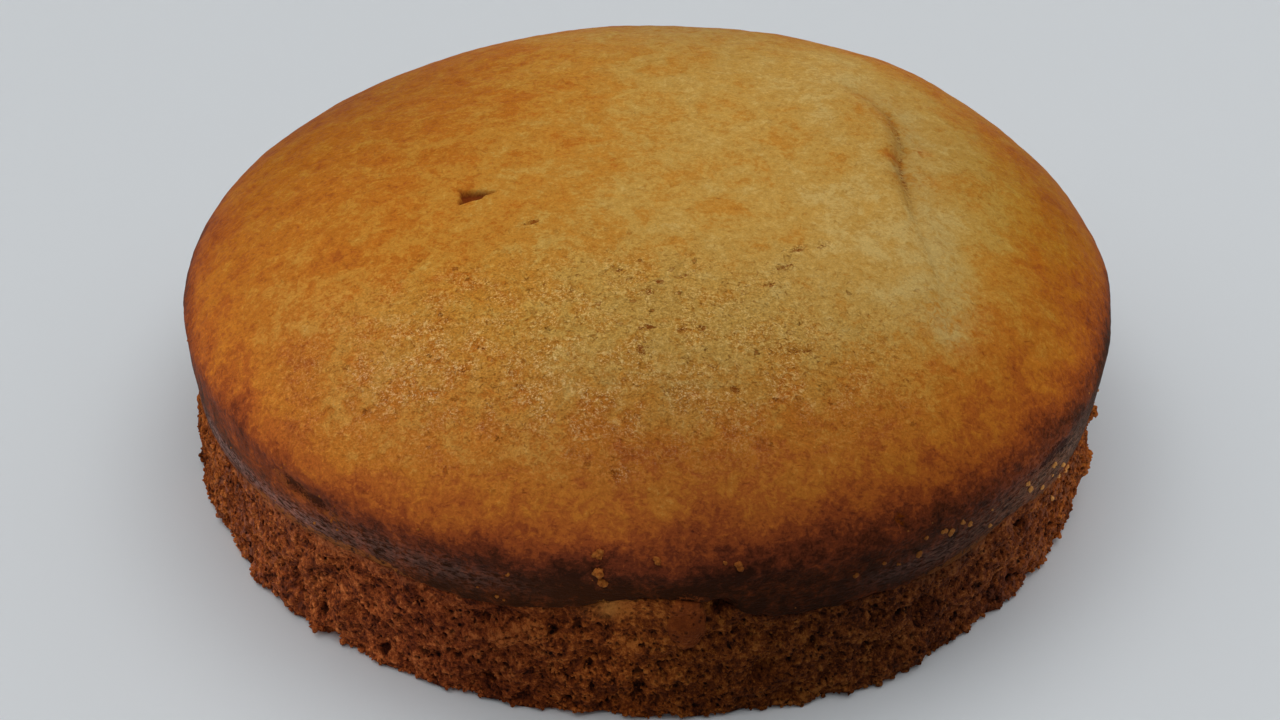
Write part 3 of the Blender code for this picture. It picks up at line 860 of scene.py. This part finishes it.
def slit_depths(points):
    """How far each point is sunk by the slits, and its share of a slit's middle and of its pale rim."""
    x, y, _ = points.T
    wander = SLIT_WANDER * ripples(points, SLIT_WANDER_SIZE, SLIT_SEED)
    sunk, inside, beside = np.zeros((3, len(points)))
    for place_x, place_y, length, lean, depth in SLITS:
        turn = math.radians(lean)
        along = (x - place_x) * math.cos(turn) + (y - place_y) * math.sin(turn)
        across = (y - place_y) * math.cos(turn) - (x - place_x) * math.sin(turn) + wander
        value = bell(along, length / 2) * bell(across, SLIT_WIDTH)
        sunk += SLIT_SHARE * depth * value
        inside = np.maximum(inside, value)
        beside = np.maximum(beside, bell(along, length / 2 + SLIT_RIM) * bell(across, SLIT_RIM))
    return sunk, inside, beside


def notch_share(points):
    """1 on the floor of the missing flake's hollow, and 0 outside it."""
    x, y, _ = points.T
    wander = NOTCH_WANDER * ripples(points, NOTCH_WANDER_SIZE, NOTCH_SEED)
    gaps = []
    for (x1, y1), (x2, y2) in zip(NOTCH_CORNERS, NOTCH_CORNERS[1:] + NOTCH_CORNERS[:1]):
        length = math.hypot(x2 - x1, y2 - y1)
        gaps.append(((x2 - x1) * (y - y1) - (y2 - y1) * (x - x1)) / length)
    return ease((np.min(gaps, axis=0) + wander) / NOTCH_EDGE)


def crust_browning(points):
    """How brown the crust is at each point, from 0, pale, to 1, nearly black."""
    x, y, z = points.T
    theta = directions(points)
    radius = np.hypot(x, y)
    level = z - DARK_TOP - ring_bells(theta, DARK_RISES)
    rim = np.interp(level, *np.array(BROWNING_BY_LEVEL).T)
    rim += ring_bells(theta, BAND_BROWNINGS) * ease(BAND_BROWNING_START - level / BAND_BROWNING_FADE)
    dome = DOME_BROWNING + DOME_BROWNING_SLOPE * np.clip(x, *DOME_BROWNING_ENDS) / MM
    share = between(radius, *DOME_ZONE)
    further_in = between(radius, *RIM_BROWNING_RADII) * ease(level / RIM_BROWNING_FADE)
    further_in = ring_bells(theta, RIM_BROWNINGS) * further_in
    return rim * share + dome * (1 - share) + further_in + patches(x, y, BROWN_PATCHES)


def shading(points):
    """Painted light and shade at each point, a factor next to 1: it changes round the cake, least in the
    middle of the dome.
    """
    x, y, z = points.T
    theta = directions(points)
    on_wall = np.interp(z, SHADE_HEIGHTS, (1, 0))
    low = ring_bells(theta, [(degrees, width, share) for degrees, width, share, _ in SHADES])
    high = ring_bells(theta, [(degrees, width, share) for degrees, width, _, share in SHADES])
    high = high * between(np.hypot(x, y), *SHADE_RADII) + DOME_SHADE - 1
    return 1 + low * on_wall + high * (1 - on_wall)


def crust_paleness(points):
    """How much of the pale patches and strip beside the split each point has."""
    x, y, _ = points.T
    distance, fade = beside_split(x, y)
    place, width, amount = PALE_STRIP
    return amount * fade * bell(distance - place, width) + patches(x, y, PALE_PATCHES)


def write_crust_values(mesh, points, top, lip, slit, slit_rim, notch):
    """Keep what the crust's material needs at each point: browning, painted light and shade, tints and
    marks.
    """
    x, y, z = points.T
    theta = directions(points)
    distance, fade = beside_split(x, y)
    # The split's dark line is a painted shadow in its groove, and beside it the crust gets painted shade
    shown = ease((y - SPLIT_DARK_FROM) / SPLIT_DARK_BLUR)
    line = fade * bell(distance - GROOVE[0], SPLIT_LINE) * shown
    beside = fade * bell(distance - GROOVE[0] + SPLIT_SIDE, SPLIT_SIDE_WIDTH) * shown * top
    tan_height, tan_share = tan_edges(theta)
    # Painted shade on the crust near the band's lower edge and beside the split
    painted_shading = (1 - LIP_PAINTED_SHADE * lip * (1 - tan_share)) * (1 - SPLIT_PAINTED_SHADE * beside)
    above_band = ease((z - DARK_TOP) / BAND_BLUR + 1)
    outer = ease((np.hypot(x, y) - DOME_TINT_START) / DOME_TINT_BLUR) * above_band
    place_x, place_y, wide, deep = SPARKLE
    sparkle = bell(x - place_x, wide) * bell(y - place_y, deep)
    write_values(
        mesh,
        browning=crust_browning(points) + SPLIT_BROWNING * beside,
        paleness=crust_paleness(points) * top,
        shade=shading(points) * painted_shading,
        cool=ring_bells(theta, DOME_COOL) * outer,
        warm=ring_bells(theta, DOME_WARM) * outer + ring_bells(theta, BAND_WARM) * (1 - above_band),
        sparkle=top * (sparkle + SLIT_SPARKLE * slit_rim),
        hollow=top * np.maximum(slit, SPLIT_LINE_HOLLOW * line),
        notch=top * notch,
        lip=tan_share * ease((tan_height - (z - band_bottom(theta))) / TAN_EDGE_BLUR + 0.5),
        **{name: spots(theta, z, places) for name, places in CRUST_SPOTS.items()},
    )


def build_crust():
    """The dome and band as one closed cap, which ends under its lip in a hidden flat face."""
    points, faces, last = turned_points(dome_rows() + band_rows() + inset_rows(LIP_ROWS), CRUST_COLUMNS)
    thing = mesh_object("cake_crust", points, faces + [tuple(reversed(last))])
    refine_crust(thing)
    mesh = thing.data
    plain = read_points(mesh)
    write_points(mesh, shaped(plain))

    points = read_points(mesh)
    theta = directions(points)
    sunk, slit, slit_rim = slit_depths(points)
    notch = notch_share(points)
    top = (plain[:, 2] > SHOULDER_HEIGHT).astype(float)
    least = np.where(plain[:, 2] < SHOULDER_HEIGHT, RIM_RADIUS - LIP_TUCK - MERGE, -1)
    outside = (plain[:, 2] >= BAND_BOTTOM) & (np.hypot(plain[:, 0], plain[:, 1]) > least)
    relief = layers(points, CRUST_BUMPS, CRUST_BUMP_SEED) * outside
    relief -= top * (sunk + NOTCH_DEPTH * notch)
    moved = points + read_normals(mesh) * relief[:, None]
    rim = np.stack([np.cos(theta) * RIM_RADIUS, np.sin(theta) * RIM_RADIUS, 0 * theta], axis=1)
    lip = 1 - ease((points[:, 2] - band_bottom(theta)) / LIP_FADE)
    lip *= np.hypot(points[:, 0], points[:, 1]) > RIM_RADIUS - LIP_DEPTH
    moved[:, 2] += lip * layers(rim, LIP_WAVES, LIP_SEED)
    write_points(mesh, moved)
    write_crust_values(mesh, points, top, lip, slit, slit_rim, notch)
    mesh.shade_smooth()
    return thing


def wall_holes():
    """The named larger holes of the wall and the seeded ones."""
    count, low, high, least, most, seed = MORE_HOLES
    draw = random.Random(seed)
    return HOLES + [(draw.uniform(0, 360), draw.uniform(low, high), draw.uniform(least, most))
                    for _ in range(count)]


def wall_texture(points):
    """Depth of the wall's pores and holes at each point, how dark their painted shade is, and height of its
    knobs.
    """
    size, reach = PORE_WARP
    points = points + np.stack([ripples(points, size, PORE_SEED + i) for i in range(3)], axis=1) * reach
    theta = directions(points)
    depth, pore, knob = np.zeros((3, len(points)))
    for kind in PORES:
        value, radius = bowls(points * PORE_STRETCH, *kind)
        depth = np.maximum(depth, PORE_DEPTH * radius * np.sqrt(value))
        pore = np.maximum(pore, value)
    for degrees, level, radius in wall_holes():
        gap = np.hypot(along_rim(theta, degrees), points[:, 2] - level)
        value = np.clip(1 - (gap / radius) ** 2, 0, 1)
        depth = np.maximum(depth, radius * np.sqrt(value))
        pore = np.maximum(pore, np.clip(HOLE_DARKNESS * value, 0, 1))
    for kind in KNOBS:
        value, radius = bowls(points, *kind)
        knob = np.maximum(knob, KNOB_HEIGHT * radius * np.sqrt(value))
    return depth, pore, knob


def write_crumb_values(mesh, points, theta, height, painted_shading):
    """Keep what the wall and its grains both need at each point: orange spots, painted light and shade,
    tints.
    """
    zones = {name: ring_bells(theta, zone) for name, zone in WALL_ZONES.items()}
    shade = shading(points) * (1 + ring_bells(theta, WALL_SHADES)) * painted_shading
    write_values(mesh, orange=spots(theta, height, ORANGE_SPOTS), shade=shade, **zones)


def build_wall():
    """The crumbly wall with its hidden top and flat base, as one closed body."""
    points, faces, last = turned_points(inset_rows(WALL_TOP_ROWS) + wall_rows(), WALL_COLUMNS)
    ends = [tuple(range(WALL_COLUMNS)), tuple(reversed(last))]
    thing = mesh_object("cake_crumb", points, faces + ends)
    mesh = thing.data
    plain = read_points(mesh)
    write_points(mesh, shaped(plain))

    points = read_points(mesh)
    theta = directions(points)
    height = points[:, 2]
    depth, pore, knob = wall_texture(points)
    start, blur, wander, size = SKIN_EDGE
    skin = spots(theta, height, SKIN_SPOTS) + wander * ripples(points, size, SKIN_SEED)
    skin = ease((skin - start) / blur)
    smooth = np.maximum(skin, np.clip(spots(theta, height, SMOOTH_SPOTS), 0, 1))
    shown = (plain[:, 2] > MERGE) * (plain[:, 2] < BAND_BOTTOM - CREASE_DROP + MERGE)
    bumps = layers(points, WALL_BUMPS, WALL_BUMP_SEED)
    under_lip = bell(height - band_bottom(theta), LIP_BLEND)
    flush = 1 - ring_bells(theta, UNDERCUT)
    tan_share = tan_edges(theta)[1]
    fading = 1 - LIP_SMOOTHING * under_lip * flush
    rough = (bumps + knob - depth) * (1 - SKIN_SMOOTHING * smooth) * fading
    relief = (rough + WALL_LIFT + FLUSH_LIFT * under_lip * flush + SKIN_THICKNESS * skin) * shown
    relief *= ease(height / FOOT_FADE)
    outward = read_normals(mesh)
    outward[:, 2] *= ease(height / FOOT_FLATNESS)
    write_points(mesh, points + outward * relief[:, None])
    points = read_points(mesh)
    points[:, 2] = np.maximum(points[:, 2] + FLUSH_RISE * under_lip ** 2 * flush * shown, 0)
    write_points(mesh, points)

    # Painted shade under the band's lower edge, where it is neither tan nor smooth
    painted_shading = 1 - UNDER_LIP_PAINTED_SHADE * under_lip * (1 - tan_share) * (1 - smooth)
    # Painted light on the upper part of the skin
    painted_shading += SKIN_PAINTED_LIGHT * skin * ease((height - SKIN_PAINTED_LIGHT_FROM) / SKIN_PAINTED_LIGHT_BLUR)
    write_values(
        mesh,
        pore=pore * (1 - smooth) * (1 - ease(knob / KNOB_SHADE)) * shown * fading,
        joint=under_lip * shown * tan_share,
        ridge=RIDGE + RIDGE_RISE * (bumps + knob) / MM,
        torn=spots(theta, height, TORN_SPOTS),
        skin=skin,
    )
    write_crumb_values(mesh, points, theta, height, painted_shading)
    mesh.shade_smooth()
    for face in list(mesh.polygons)[-2:]:
        face.use_smooth = False
    return thing


def lump(detail):
    """Points and faces of a plain round lump of radius 1."""
    bm = bmesh.new()
    bmesh.ops.create_icosphere(bm, subdivisions=detail, radius=1)
    points = np.array([point.co.to_tuple() for point in bm.verts])
    faces = [tuple(point.index for point in face.verts) for face in bm.faces]
    bm.free()
    return points, faces


def join_lumps(name, places):
    """One mesh of many uneven lumps: each place has a centre, a radius, a detail and a seed."""
    shapes = {detail: lump(detail) for detail in {place[2] for place in places}}
    points = []
    faces = []
    for centre, radius, detail, seed in places:
        draw = random.Random(seed)
        form, sides = shapes[detail]
        stretch = np.array([draw.uniform(*LUMP_STRETCH) for _ in range(3)])
        shift = np.array([draw.uniform(0, LUMP_SHIFT) for _ in range(3)])
        bumps = np.array([noise.noise(place) for place in (form * LUMP_PACE + shift).tolist()])
        turn = Matrix.Rotation(draw.uniform(0, TURN), 3, Vector((draw.gauss(0, 1), draw.gauss(0, 1), 1)))
        own = form * (1 + LUMP_BUMPS * bumps)[:, None] * stretch * radius
        own = own @ np.array(turn).T + np.array(centre)
        own[:, 2] = np.maximum(own[:, 2], LUMP_FLOOR)
        faces.extend(tuple(corner + len(points) for corner in side) for side in sides)
        points.extend(own.tolist())
    thing = mesh_object(name, points, faces)
    thing.data.shade_smooth()
    return thing


def build_grains(wall):
    """Grains and small chunks that stand out of the wall, densest at its foot."""
    points = read_points(wall.data)
    normals = read_normals(wall.data)
    theta = directions(points)
    height = points[:, 2]
    shown = height < band_bottom(theta) - GRAIN_GAP
    shown &= np.hypot(points[:, 0], points[:, 1]) > RIM_RADIUS - GRAIN_DEPTH
    rough = spots(theta, height, SKIN_SPOTS + TORN_SPOTS + SMOOTH_SPOTS) < SKIN_BARE
    zones = {
        "wall": np.flatnonzero(shown & (height > FOOT_ZONE) & rough),
        "foot": np.flatnonzero(shown & (height <= FOOT_ZONE) & (height > GRAIN_LEAST_HEIGHT)),
    }
    places = []
    for zone, count, least, most, sunk, seed in GRAINS:
        draw = random.Random(seed)
        for k in range(count):
            i = zones[zone][draw.randrange(len(zones[zone]))]
            radius = draw.uniform(least, most)
            centre = points[i] + normals[i] * radius * (GRAIN_RISE - sunk)
            detail = 1 if radius < COARSE_RADIUS else 2
            places.append((centre.tolist(), radius, detail, seed * SEED_STEP + k))
    draw = random.Random(CHUNK_SEED)
    for degrees, level, reach, count in CHUNKS:
        near = np.hypot(along_rim(theta, degrees), height - level) < reach
        around = np.flatnonzero(near & shown)
        for _ in range(count):
            i = around[draw.randrange(len(around))]
            radius = draw.uniform(*CHUNK_RADII)
            places.append((points[i].tolist(), radius, 2, CHUNK_SEED * SEED_STEP + len(places)))
    thing = join_lumps("crumb_grains", places)
    points = read_points(thing.data)
    write_crumb_values(thing.data, points, directions(points), points[:, 2], 1)
    none = np.zeros(len(points))
    write_values(thing.data, ridge=none + GRAIN_RIDGE, joint=none, pore=none, torn=none, skin=none)
    return thing


def build_golden_crumbs(crust, wall):
    """Golden crumbs that lie on the band."""
    graph = bpy.context.evaluated_depsgraph_get()
    trees = [bvhtree.BVHTree.FromObject(piece, graph) for piece in (crust, wall)]
    draw = random.Random(CRUMB_SEED)
    strays = []
    for _ in range(STRAY_CRUMBS):
        height = draw.uniform(*STRAY_CRUMB_HEIGHTS)
        strays.append((draw.uniform(0, 360), height, draw.uniform(*STRAY_CRUMB_WIDTHS)))
    places = []
    for degrees, height, width in GOLDEN_CRUMBS + strays:
        turn = math.radians(degrees)
        outward = Vector((math.cos(turn), math.sin(turn), 0))
        start = outward * 2 * RIM_RADIUS + Vector((0, 0, height))
        hits = [tree.ray_cast(start, -outward) for tree in trees]
        hit, normal, _, _ = min((hit for hit in hits if hit[0]), key=lambda hit: hit[3])
        for _ in range(CRUMB_LUMPS):
            aside = Vector([draw.uniform(-1, 1) * CRUMB_SCATTER * width for _ in range(3)])
            centre = hit + aside - normal * aside.dot(normal) + normal * width * CRUMB_RISE
            radius = width * draw.uniform(*CRUMB_RADII)
            places.append((centre[:], radius, 2, CRUMB_SEED * SEED_STEP + len(places)))
    thing = join_lumps("golden_crumbs", places)
    points = read_points(thing.data)
    # Painted light and shade on the crumbs, with more painted light where they are paler
    degrees, width = PALE_CRUMBS
    pale = bell(along_rim(directions(points), degrees), width)
    write_values(thing.data, pale=pale, shade=shading(points) * (1 + PALE_LIGHT * pale))
    return thing


def srgb(red, green, blue):
    """A colour as the shader wants it, from values of 0 to 255."""
    shares = [value / 255 for value in (red, green, blue)]
    linear = [share / 12.92 if share <= 0.04045 else ((share + 0.055) / 1.055) ** 2.4 for share in shares]
    return (*linear, 1.0)


class Shader:
    """A material's nodes, with short calls for the kinds that are used here."""

    def __init__(self, name):
        self.material = bpy.data.materials.new(name)
        self.material.use_nodes = True
        self.tree = self.material.node_tree
        self.surface = self.tree.nodes["Principled BSDF"]
        self.place = self.tree.nodes.new("ShaderNodeTexCoord").outputs["Object"]

    def feed(self, node, values):
        """Link outputs to a node's inputs, by number or name, or set the inputs' own values."""
        for name, value in values.items():
            if isinstance(value, bpy.types.NodeSocket):
                self.tree.links.new(value, node.inputs[name])
            else:
                node.inputs[name].default_value = value

    def add(self, kind, values, **settings):
        """A new node, with its settings and its inputs."""
        made = self.tree.nodes.new("ShaderNode" + kind)
        for name, value in settings.items():
            setattr(made, name, value)
        self.feed(made, values)
        return made

    def math(self, operation, first, second, clamp=False):
        """Two numbers or outputs put together by an operation."""
        return self.add("Math", {0: first, 1: second}, operation=operation, use_clamp=clamp).outputs[0]

    def times(self, first, second, clamp=False):
        """Product of two numbers or outputs."""
        return self.math("MULTIPLY", first, second, clamp)

    def total(self, *values):
        """Sum of several numbers or outputs."""
        result = values[0]
        for value in values[1:]:
            result = self.math("ADD", result, value)
        return result

    def kept(self, name):
        """The number that the mesh keeps for each point under this name."""
        return self.add("Attribute", {}, attribute_name=name).outputs["Fac"]

    def noise(self, size, detail=2, roughness=0.5, distortion=0, stretch=None):
        """Noise from 0 to 1, of a size in millimetres."""
        place = self.place
        if stretch:
            place = self.add("Mapping", {"Vector": place, "Scale": stretch}).outputs[0]
        values = {"Vector": place, "Scale": 1 / (size * MM), "Detail": detail}
        return self.add("TexNoise", {**values, "Roughness": roughness, "Distortion": distortion}).outputs[0]

    def noises(self, table):
        """The noises of a table, by their names."""
        return {name: self.noise(*values) for name, values in table.items()}

    def cells(self, size):
        """Cells of a size in millimetres: the distance from their middles, and a colour for each."""
        return self.add("TexVoronoi", {"Vector": self.place, "Scale": 1 / (size * MM)}).outputs

    def step(self, value, name):
        """A named smooth step, by a number."""
        limits = dict(zip(("From Min", "From Max", "To Min", "To Max"), STEPS[name]))
        return self.add("MapRange", {"Value": value, **limits}, interpolation_type="SMOOTHSTEP").outputs[0]

    def spread(self, value, amount):
        """The value moved to lie around 0, from minus to plus half the amount."""
        return self.times(self.math("SUBTRACT", value, 0.5), amount)

    def spreads(self, texture, amounts):
        """Several noises moved to lie around 0, by their names and amounts."""
        return [self.spread(texture[name], amount) for name, amount in amounts.items()]

    def line(self, value, name):
        """1 along thin lines where a noise crosses its middle, and 0 away from them, by a named step."""
        return self.step(self.math("ABSOLUTE", self.spread(value, 1), 0), name)

    def mix(self, share, first, second, blend="MIX"):
        """A mix of two colours."""
        values = {0: share, 6: first, 7: second}
        return self.add("Mix", values, data_type="RGBA", blend_type=blend).outputs[2]

    def paint(self, colour, share, name):
        """The colour with a named paint over it, by a share."""
        strength, *paint = PAINTS[name]
        return self.mix(self.times(share, strength), colour, srgb(*paint))

    def ramp(self, share, stops):
        """A colour by a number, through the given stops."""
        made = self.add("ValToRGB", {"Fac": share})
        made.color_ramp.interpolation = "EASE"
        elements = made.color_ramp.elements
        while len(elements) < len(stops):
            elements.new(0.5)
        for element, (position, *colour) in zip(elements, stops):
            element.position = position
            element.color = srgb(*colour)
        return made.outputs[0]

    def finished(self, colour, tints, shade, relief, roughness, gloss):
        """The material, with a tinted colour shaded by its painted light and shade, and relief in
        millimetres.
        """
        for name, tint in tints.items():
            colour = self.mix(self.kept(name), colour, tint, "MULTIPLY")
        self.feed(self.surface, {
            "Base Color": self.mix(1, colour, shade, "MULTIPLY"),
            "Normal": self.add("Bump", {"Height": relief, "Distance": MM, "Strength": 1}).outputs[0],
            "Roughness": roughness,
            "Specular IOR Level": gloss,
        })
        return self.material


def crust_material():
    """Baked crust: golden dome, reddish rim, nearly black band, finely grained, with painted glints and
    sheen.
    """
    s = Shader("baked_crust")
    texture = s.noises(CRUST_NOISES)
    mottles = texture["mottles"]
    grain = texture["grain"]
    wrinkles = texture["wrinkles"]
    browning = s.kept("browning")
    hollow = s.kept("hollow")
    sparkle = s.kept("sparkle")
    # Wrinkles show more where the band's greyish sheen is painted
    wrinkled = s.times(s.step(browning, "wrinkled"), s.math("ADD", LEAST_WRINKLED, s.kept("painted_sheen"), True))
    clear = s.step(sparkle, "clear")
    on_dome = s.step(browning, "on dome")

    wrinkle = s.times(s.spread(wrinkles, WRINKLE_TONE), wrinkled)
    tone = s.total(browning, *s.spreads(texture, CRUST_TONE), wrinkle)
    pale = s.times(s.kept("paleness"), s.step(mottles, "pale"), True)
    colour = s.paint(s.ramp(tone, CRUST_STOPS), pale, "pale crust")

    speck = s.times(s.step(texture["specks"], "speck"), s.times(on_dome, clear))
    colour = s.paint(colour, speck, "speck")
    holes = s.cells(CRUST_CELLS)
    hole = s.math("ADD", holes["Distance"], s.spread(grain, HOLE_RAGGED))
    hole = s.times(s.step(hole, "hole edge"), s.step(holes["Color"], "hole choice"))
    hole = s.times(hole, s.step(sparkle, "hole zone"))
    colour = s.paint(colour, hole, "hole")
    # Painted glints, that is painted highlights: thin strokes and bright flecks where the crust sparkles
    zone = s.times(s.step(texture["zones"], "glint zone"), s.step(sparkle, "sparkling"))
    zone = s.times(zone, on_dome)
    streak = s.times(s.line(texture["streaks"], "streak"), s.step(texture["fine"], "broken"))
    glow = s.times(s.step(grain, "glow"), GLOW_STRENGTH)
    glint = s.times(s.math("MAXIMUM", streak, glow), zone)
    colour = s.paint(colour, glint, "glint")

    ragged = s.total(1.0, *s.spreads(texture, CRUST_RAGGED))
    crack = s.times(s.line(texture["cracks"], "crack"), s.step(hollow, "cracked"))
    slit = s.math("MAXIMUM", crack, s.step(s.times(hollow, ragged), "slit"))
    colour = s.paint(colour, slit, "slit")
    colour = s.paint(colour, s.kept("notch"), "notch")
    # The band's greyish sheen, a painted reflection, along its wrinkles
    painted_sheen = s.times(s.kept("painted_sheen"), s.step(wrinkles, "painted_sheen"), True)
    colour = s.paint(colour, painted_sheen, "painted_sheen")
    marks = {"speck": speck, "hole": hole}
    for name in CRUST_MARKS:
        marks[name] = s.step(s.times(s.kept(name), ragged), name)
        colour = s.paint(colour, marks[name], name)

    light = s.total(
        1.0,
        s.spread(mottles, MOTTLE_LIGHT),
        s.times(s.total(*s.spreads(texture, CRUST_LIGHT)), clear),
        s.times(s.spread(wrinkles, WRINKLE_LIGHT), wrinkled),
    )
    relief = s.total(
        s.times(s.total(*s.spreads(texture, CRUST_RELIEF)), clear),
        s.spread(mottles, MOTTLE_RELIEF),
        s.times(s.spread(wrinkles, WRINKLE_RELIEF), wrinkled),
        *(s.times(marks[name], amount) for name, amount in MARK_RELIEFS.items()),
    )
    roughness = s.step(grain, "crust roughness")
    return s.finished(colour, CRUST_TINTS, s.times(light, s.kept("shade")), relief, roughness, CRUST_GLOSS)


def crumb_material():
    """Browned crumb of the wall: orange-brown ridges with painted light, pores dark with painted shade,
    pale where torn open.
    """
    s = Shader("browned_crumb")
    texture = s.noises(CRUMB_NOISES)
    grain = texture["grain"]
    torn = s.kept("torn")
    streaks = s.kept("streaks")
    holes = s.cells(CRUMB_CELLS)
    hole = s.times(s.step(holes["Distance"], "pit edge"), s.step(holes["Color"], "pit choice"))

    tone = s.total(s.kept("ridge"), *s.spreads(texture, CRUMB_TONE), s.times(s.kept("orange"), ORANGE_TONE))
    colour = s.ramp(tone, CRUMB_STOPS)
    fibre = s.times(s.step(texture["fibres"], "fibre"), streaks, True)
    gap = s.times(s.step(texture["fibres"], "gap"), streaks, True)
    colour = s.paint(colour, fibre, "fibre")
    colour = s.paint(colour, gap, "gap")
    joint = s.step(s.times(s.kept("joint"), s.total(1.0, s.spread(grain, JOINT_RAGGED))), "joint")
    colour = s.paint(colour, joint, "joint")
    colour = s.mix(s.times(torn, TORN_STRENGTH, True), colour, srgb(*TORN_CRUMB))
    colour = s.paint(colour, s.kept("skin"), "skin")
    # Pores and small pits darkened with painted shade, less where the crumb is torn
    dark = s.math("ADD", s.step(s.kept("pore"), "pore"), s.times(hole, PIT_DARKNESS), True)
    dark = s.times(dark, s.math("SUBTRACT", 1.0, s.times(torn, TORN_CLEARNESS)))
    colour = s.mix(dark, colour, srgb(*PORE_SHADE_COLOUR))
    relief = s.total(*s.spreads(texture, CRUMB_RELIEF), s.times(hole, PIT_RELIEF))
    roughness = s.step(grain, "crumb roughness")
    return s.finished(colour, CRUMB_TINTS, s.kept("shade"), relief, roughness, CRUMB_GLOSS)


def golden_material():
    """Golden crumbs, paler where more light falls on them."""
    s = Shader("golden_crumb")
    texture = s.noises(GOLDEN_NOISES)
    grain = texture["grain"]
    colour = s.paint(s.ramp(grain, GOLDEN_STOPS), s.kept("pale"), "pale crumb")
    relief = s.spread(texture["fine"], GOLDEN_RELIEF)
    roughness = s.step(grain, "golden roughness")
    return s.finished(colour, {}, s.kept("shade"), relief, roughness, GOLDEN_GLOSS)


def build_stage():
    """A pale floor that curves up into a low wall far behind the cake."""
    outline = [(0.0, 0.0), (FLOOR_RADIUS, 0.0)]
    for step in range(1, COVE_STEPS + 1):
        swing = math.pi / 2 * step / COVE_STEPS
        outline.append((FLOOR_RADIUS + COVE_RADIUS * math.sin(swing), COVE_RADIUS * (1 - math.cos(swing))))
    outline.append((FLOOR_RADIUS + COVE_RADIUS, WALL_HEIGHT))
    points = [(radius, 0.0, height) for radius, height in outline]
    floor = mesh_object("floor", points, [], [(i, i + 1) for i in range(len(points) - 1)])
    turn = floor.modifiers.new("turn", "SCREW")
    turn.steps = STAGE_STEPS
    turn.render_steps = STAGE_STEPS
    turn.use_merge_vertices = True
    turn.merge_threshold = MERGE
    turn.use_normal_flip = True
    s = Shader("pale_floor")
    s.feed(s.surface, {"Base Color": srgb(*FLOOR_COLOUR), "Roughness": FLOOR_ROUGHNESS})
    floor.data.materials.append(s.material)


def light_scene():
    """Soft light from above, from behind on the left and weakly on the right, and a dim sky."""
    for name, (degrees, height, strength, width, colour) in LIGHTS.items():
        light = bpy.data.lights.new(name, "SUN")
        light.energy = strength
        light.angle = math.radians(width)
        light.color = colour
        lamp = bpy.data.objects.new(name, light)
        lamp.rotation_euler = (math.radians(90 - height), 0, math.radians(degrees + 90))
        bpy.context.scene.collection.objects.link(lamp)
    world = bpy.data.worlds.new("studio")
    world.use_nodes = True
    background = world.node_tree.nodes["Background"]
    background.inputs["Color"].default_value = srgb(*SKY_COLOUR)
    background.inputs["Strength"].default_value = SKY_STRENGTH
    bpy.context.scene.world = world
    bpy.context.scene.view_settings.view_transform = "Standard"


def add_camera():
    """The camera, where the photograph was taken from."""
    data = bpy.data.cameras.new("camera")
    data.lens = LENS
    camera = bpy.data.objects.new("camera", data)
    pitch = Matrix.Rotation(math.radians(90 - PITCH), 4, "X")
    roll = Matrix.Rotation(math.radians(ROLL), 4, "Z")
    camera.matrix_world = Matrix.Translation(EYE) @ pitch @ roll
    bpy.context.scene.collection.objects.link(camera)
    bpy.context.scene.camera = camera


def dress(thing, material):
    """Give a piece its material and its body, in place of the plain solid."""
    thing.data.materials.append(material)
    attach(thing, "root")
    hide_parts("cake")


def main():
    add_camera()
    light_scene()
    build_stage()
    crust = build_crust()
    wall = build_wall()
    crumb = crumb_material()
    dress(crust, crust_material())
    dress(wall, crumb)
    dress(build_grains(wall), crumb)
    dress(build_golden_crumbs(crust, wall), golden_material())


main()
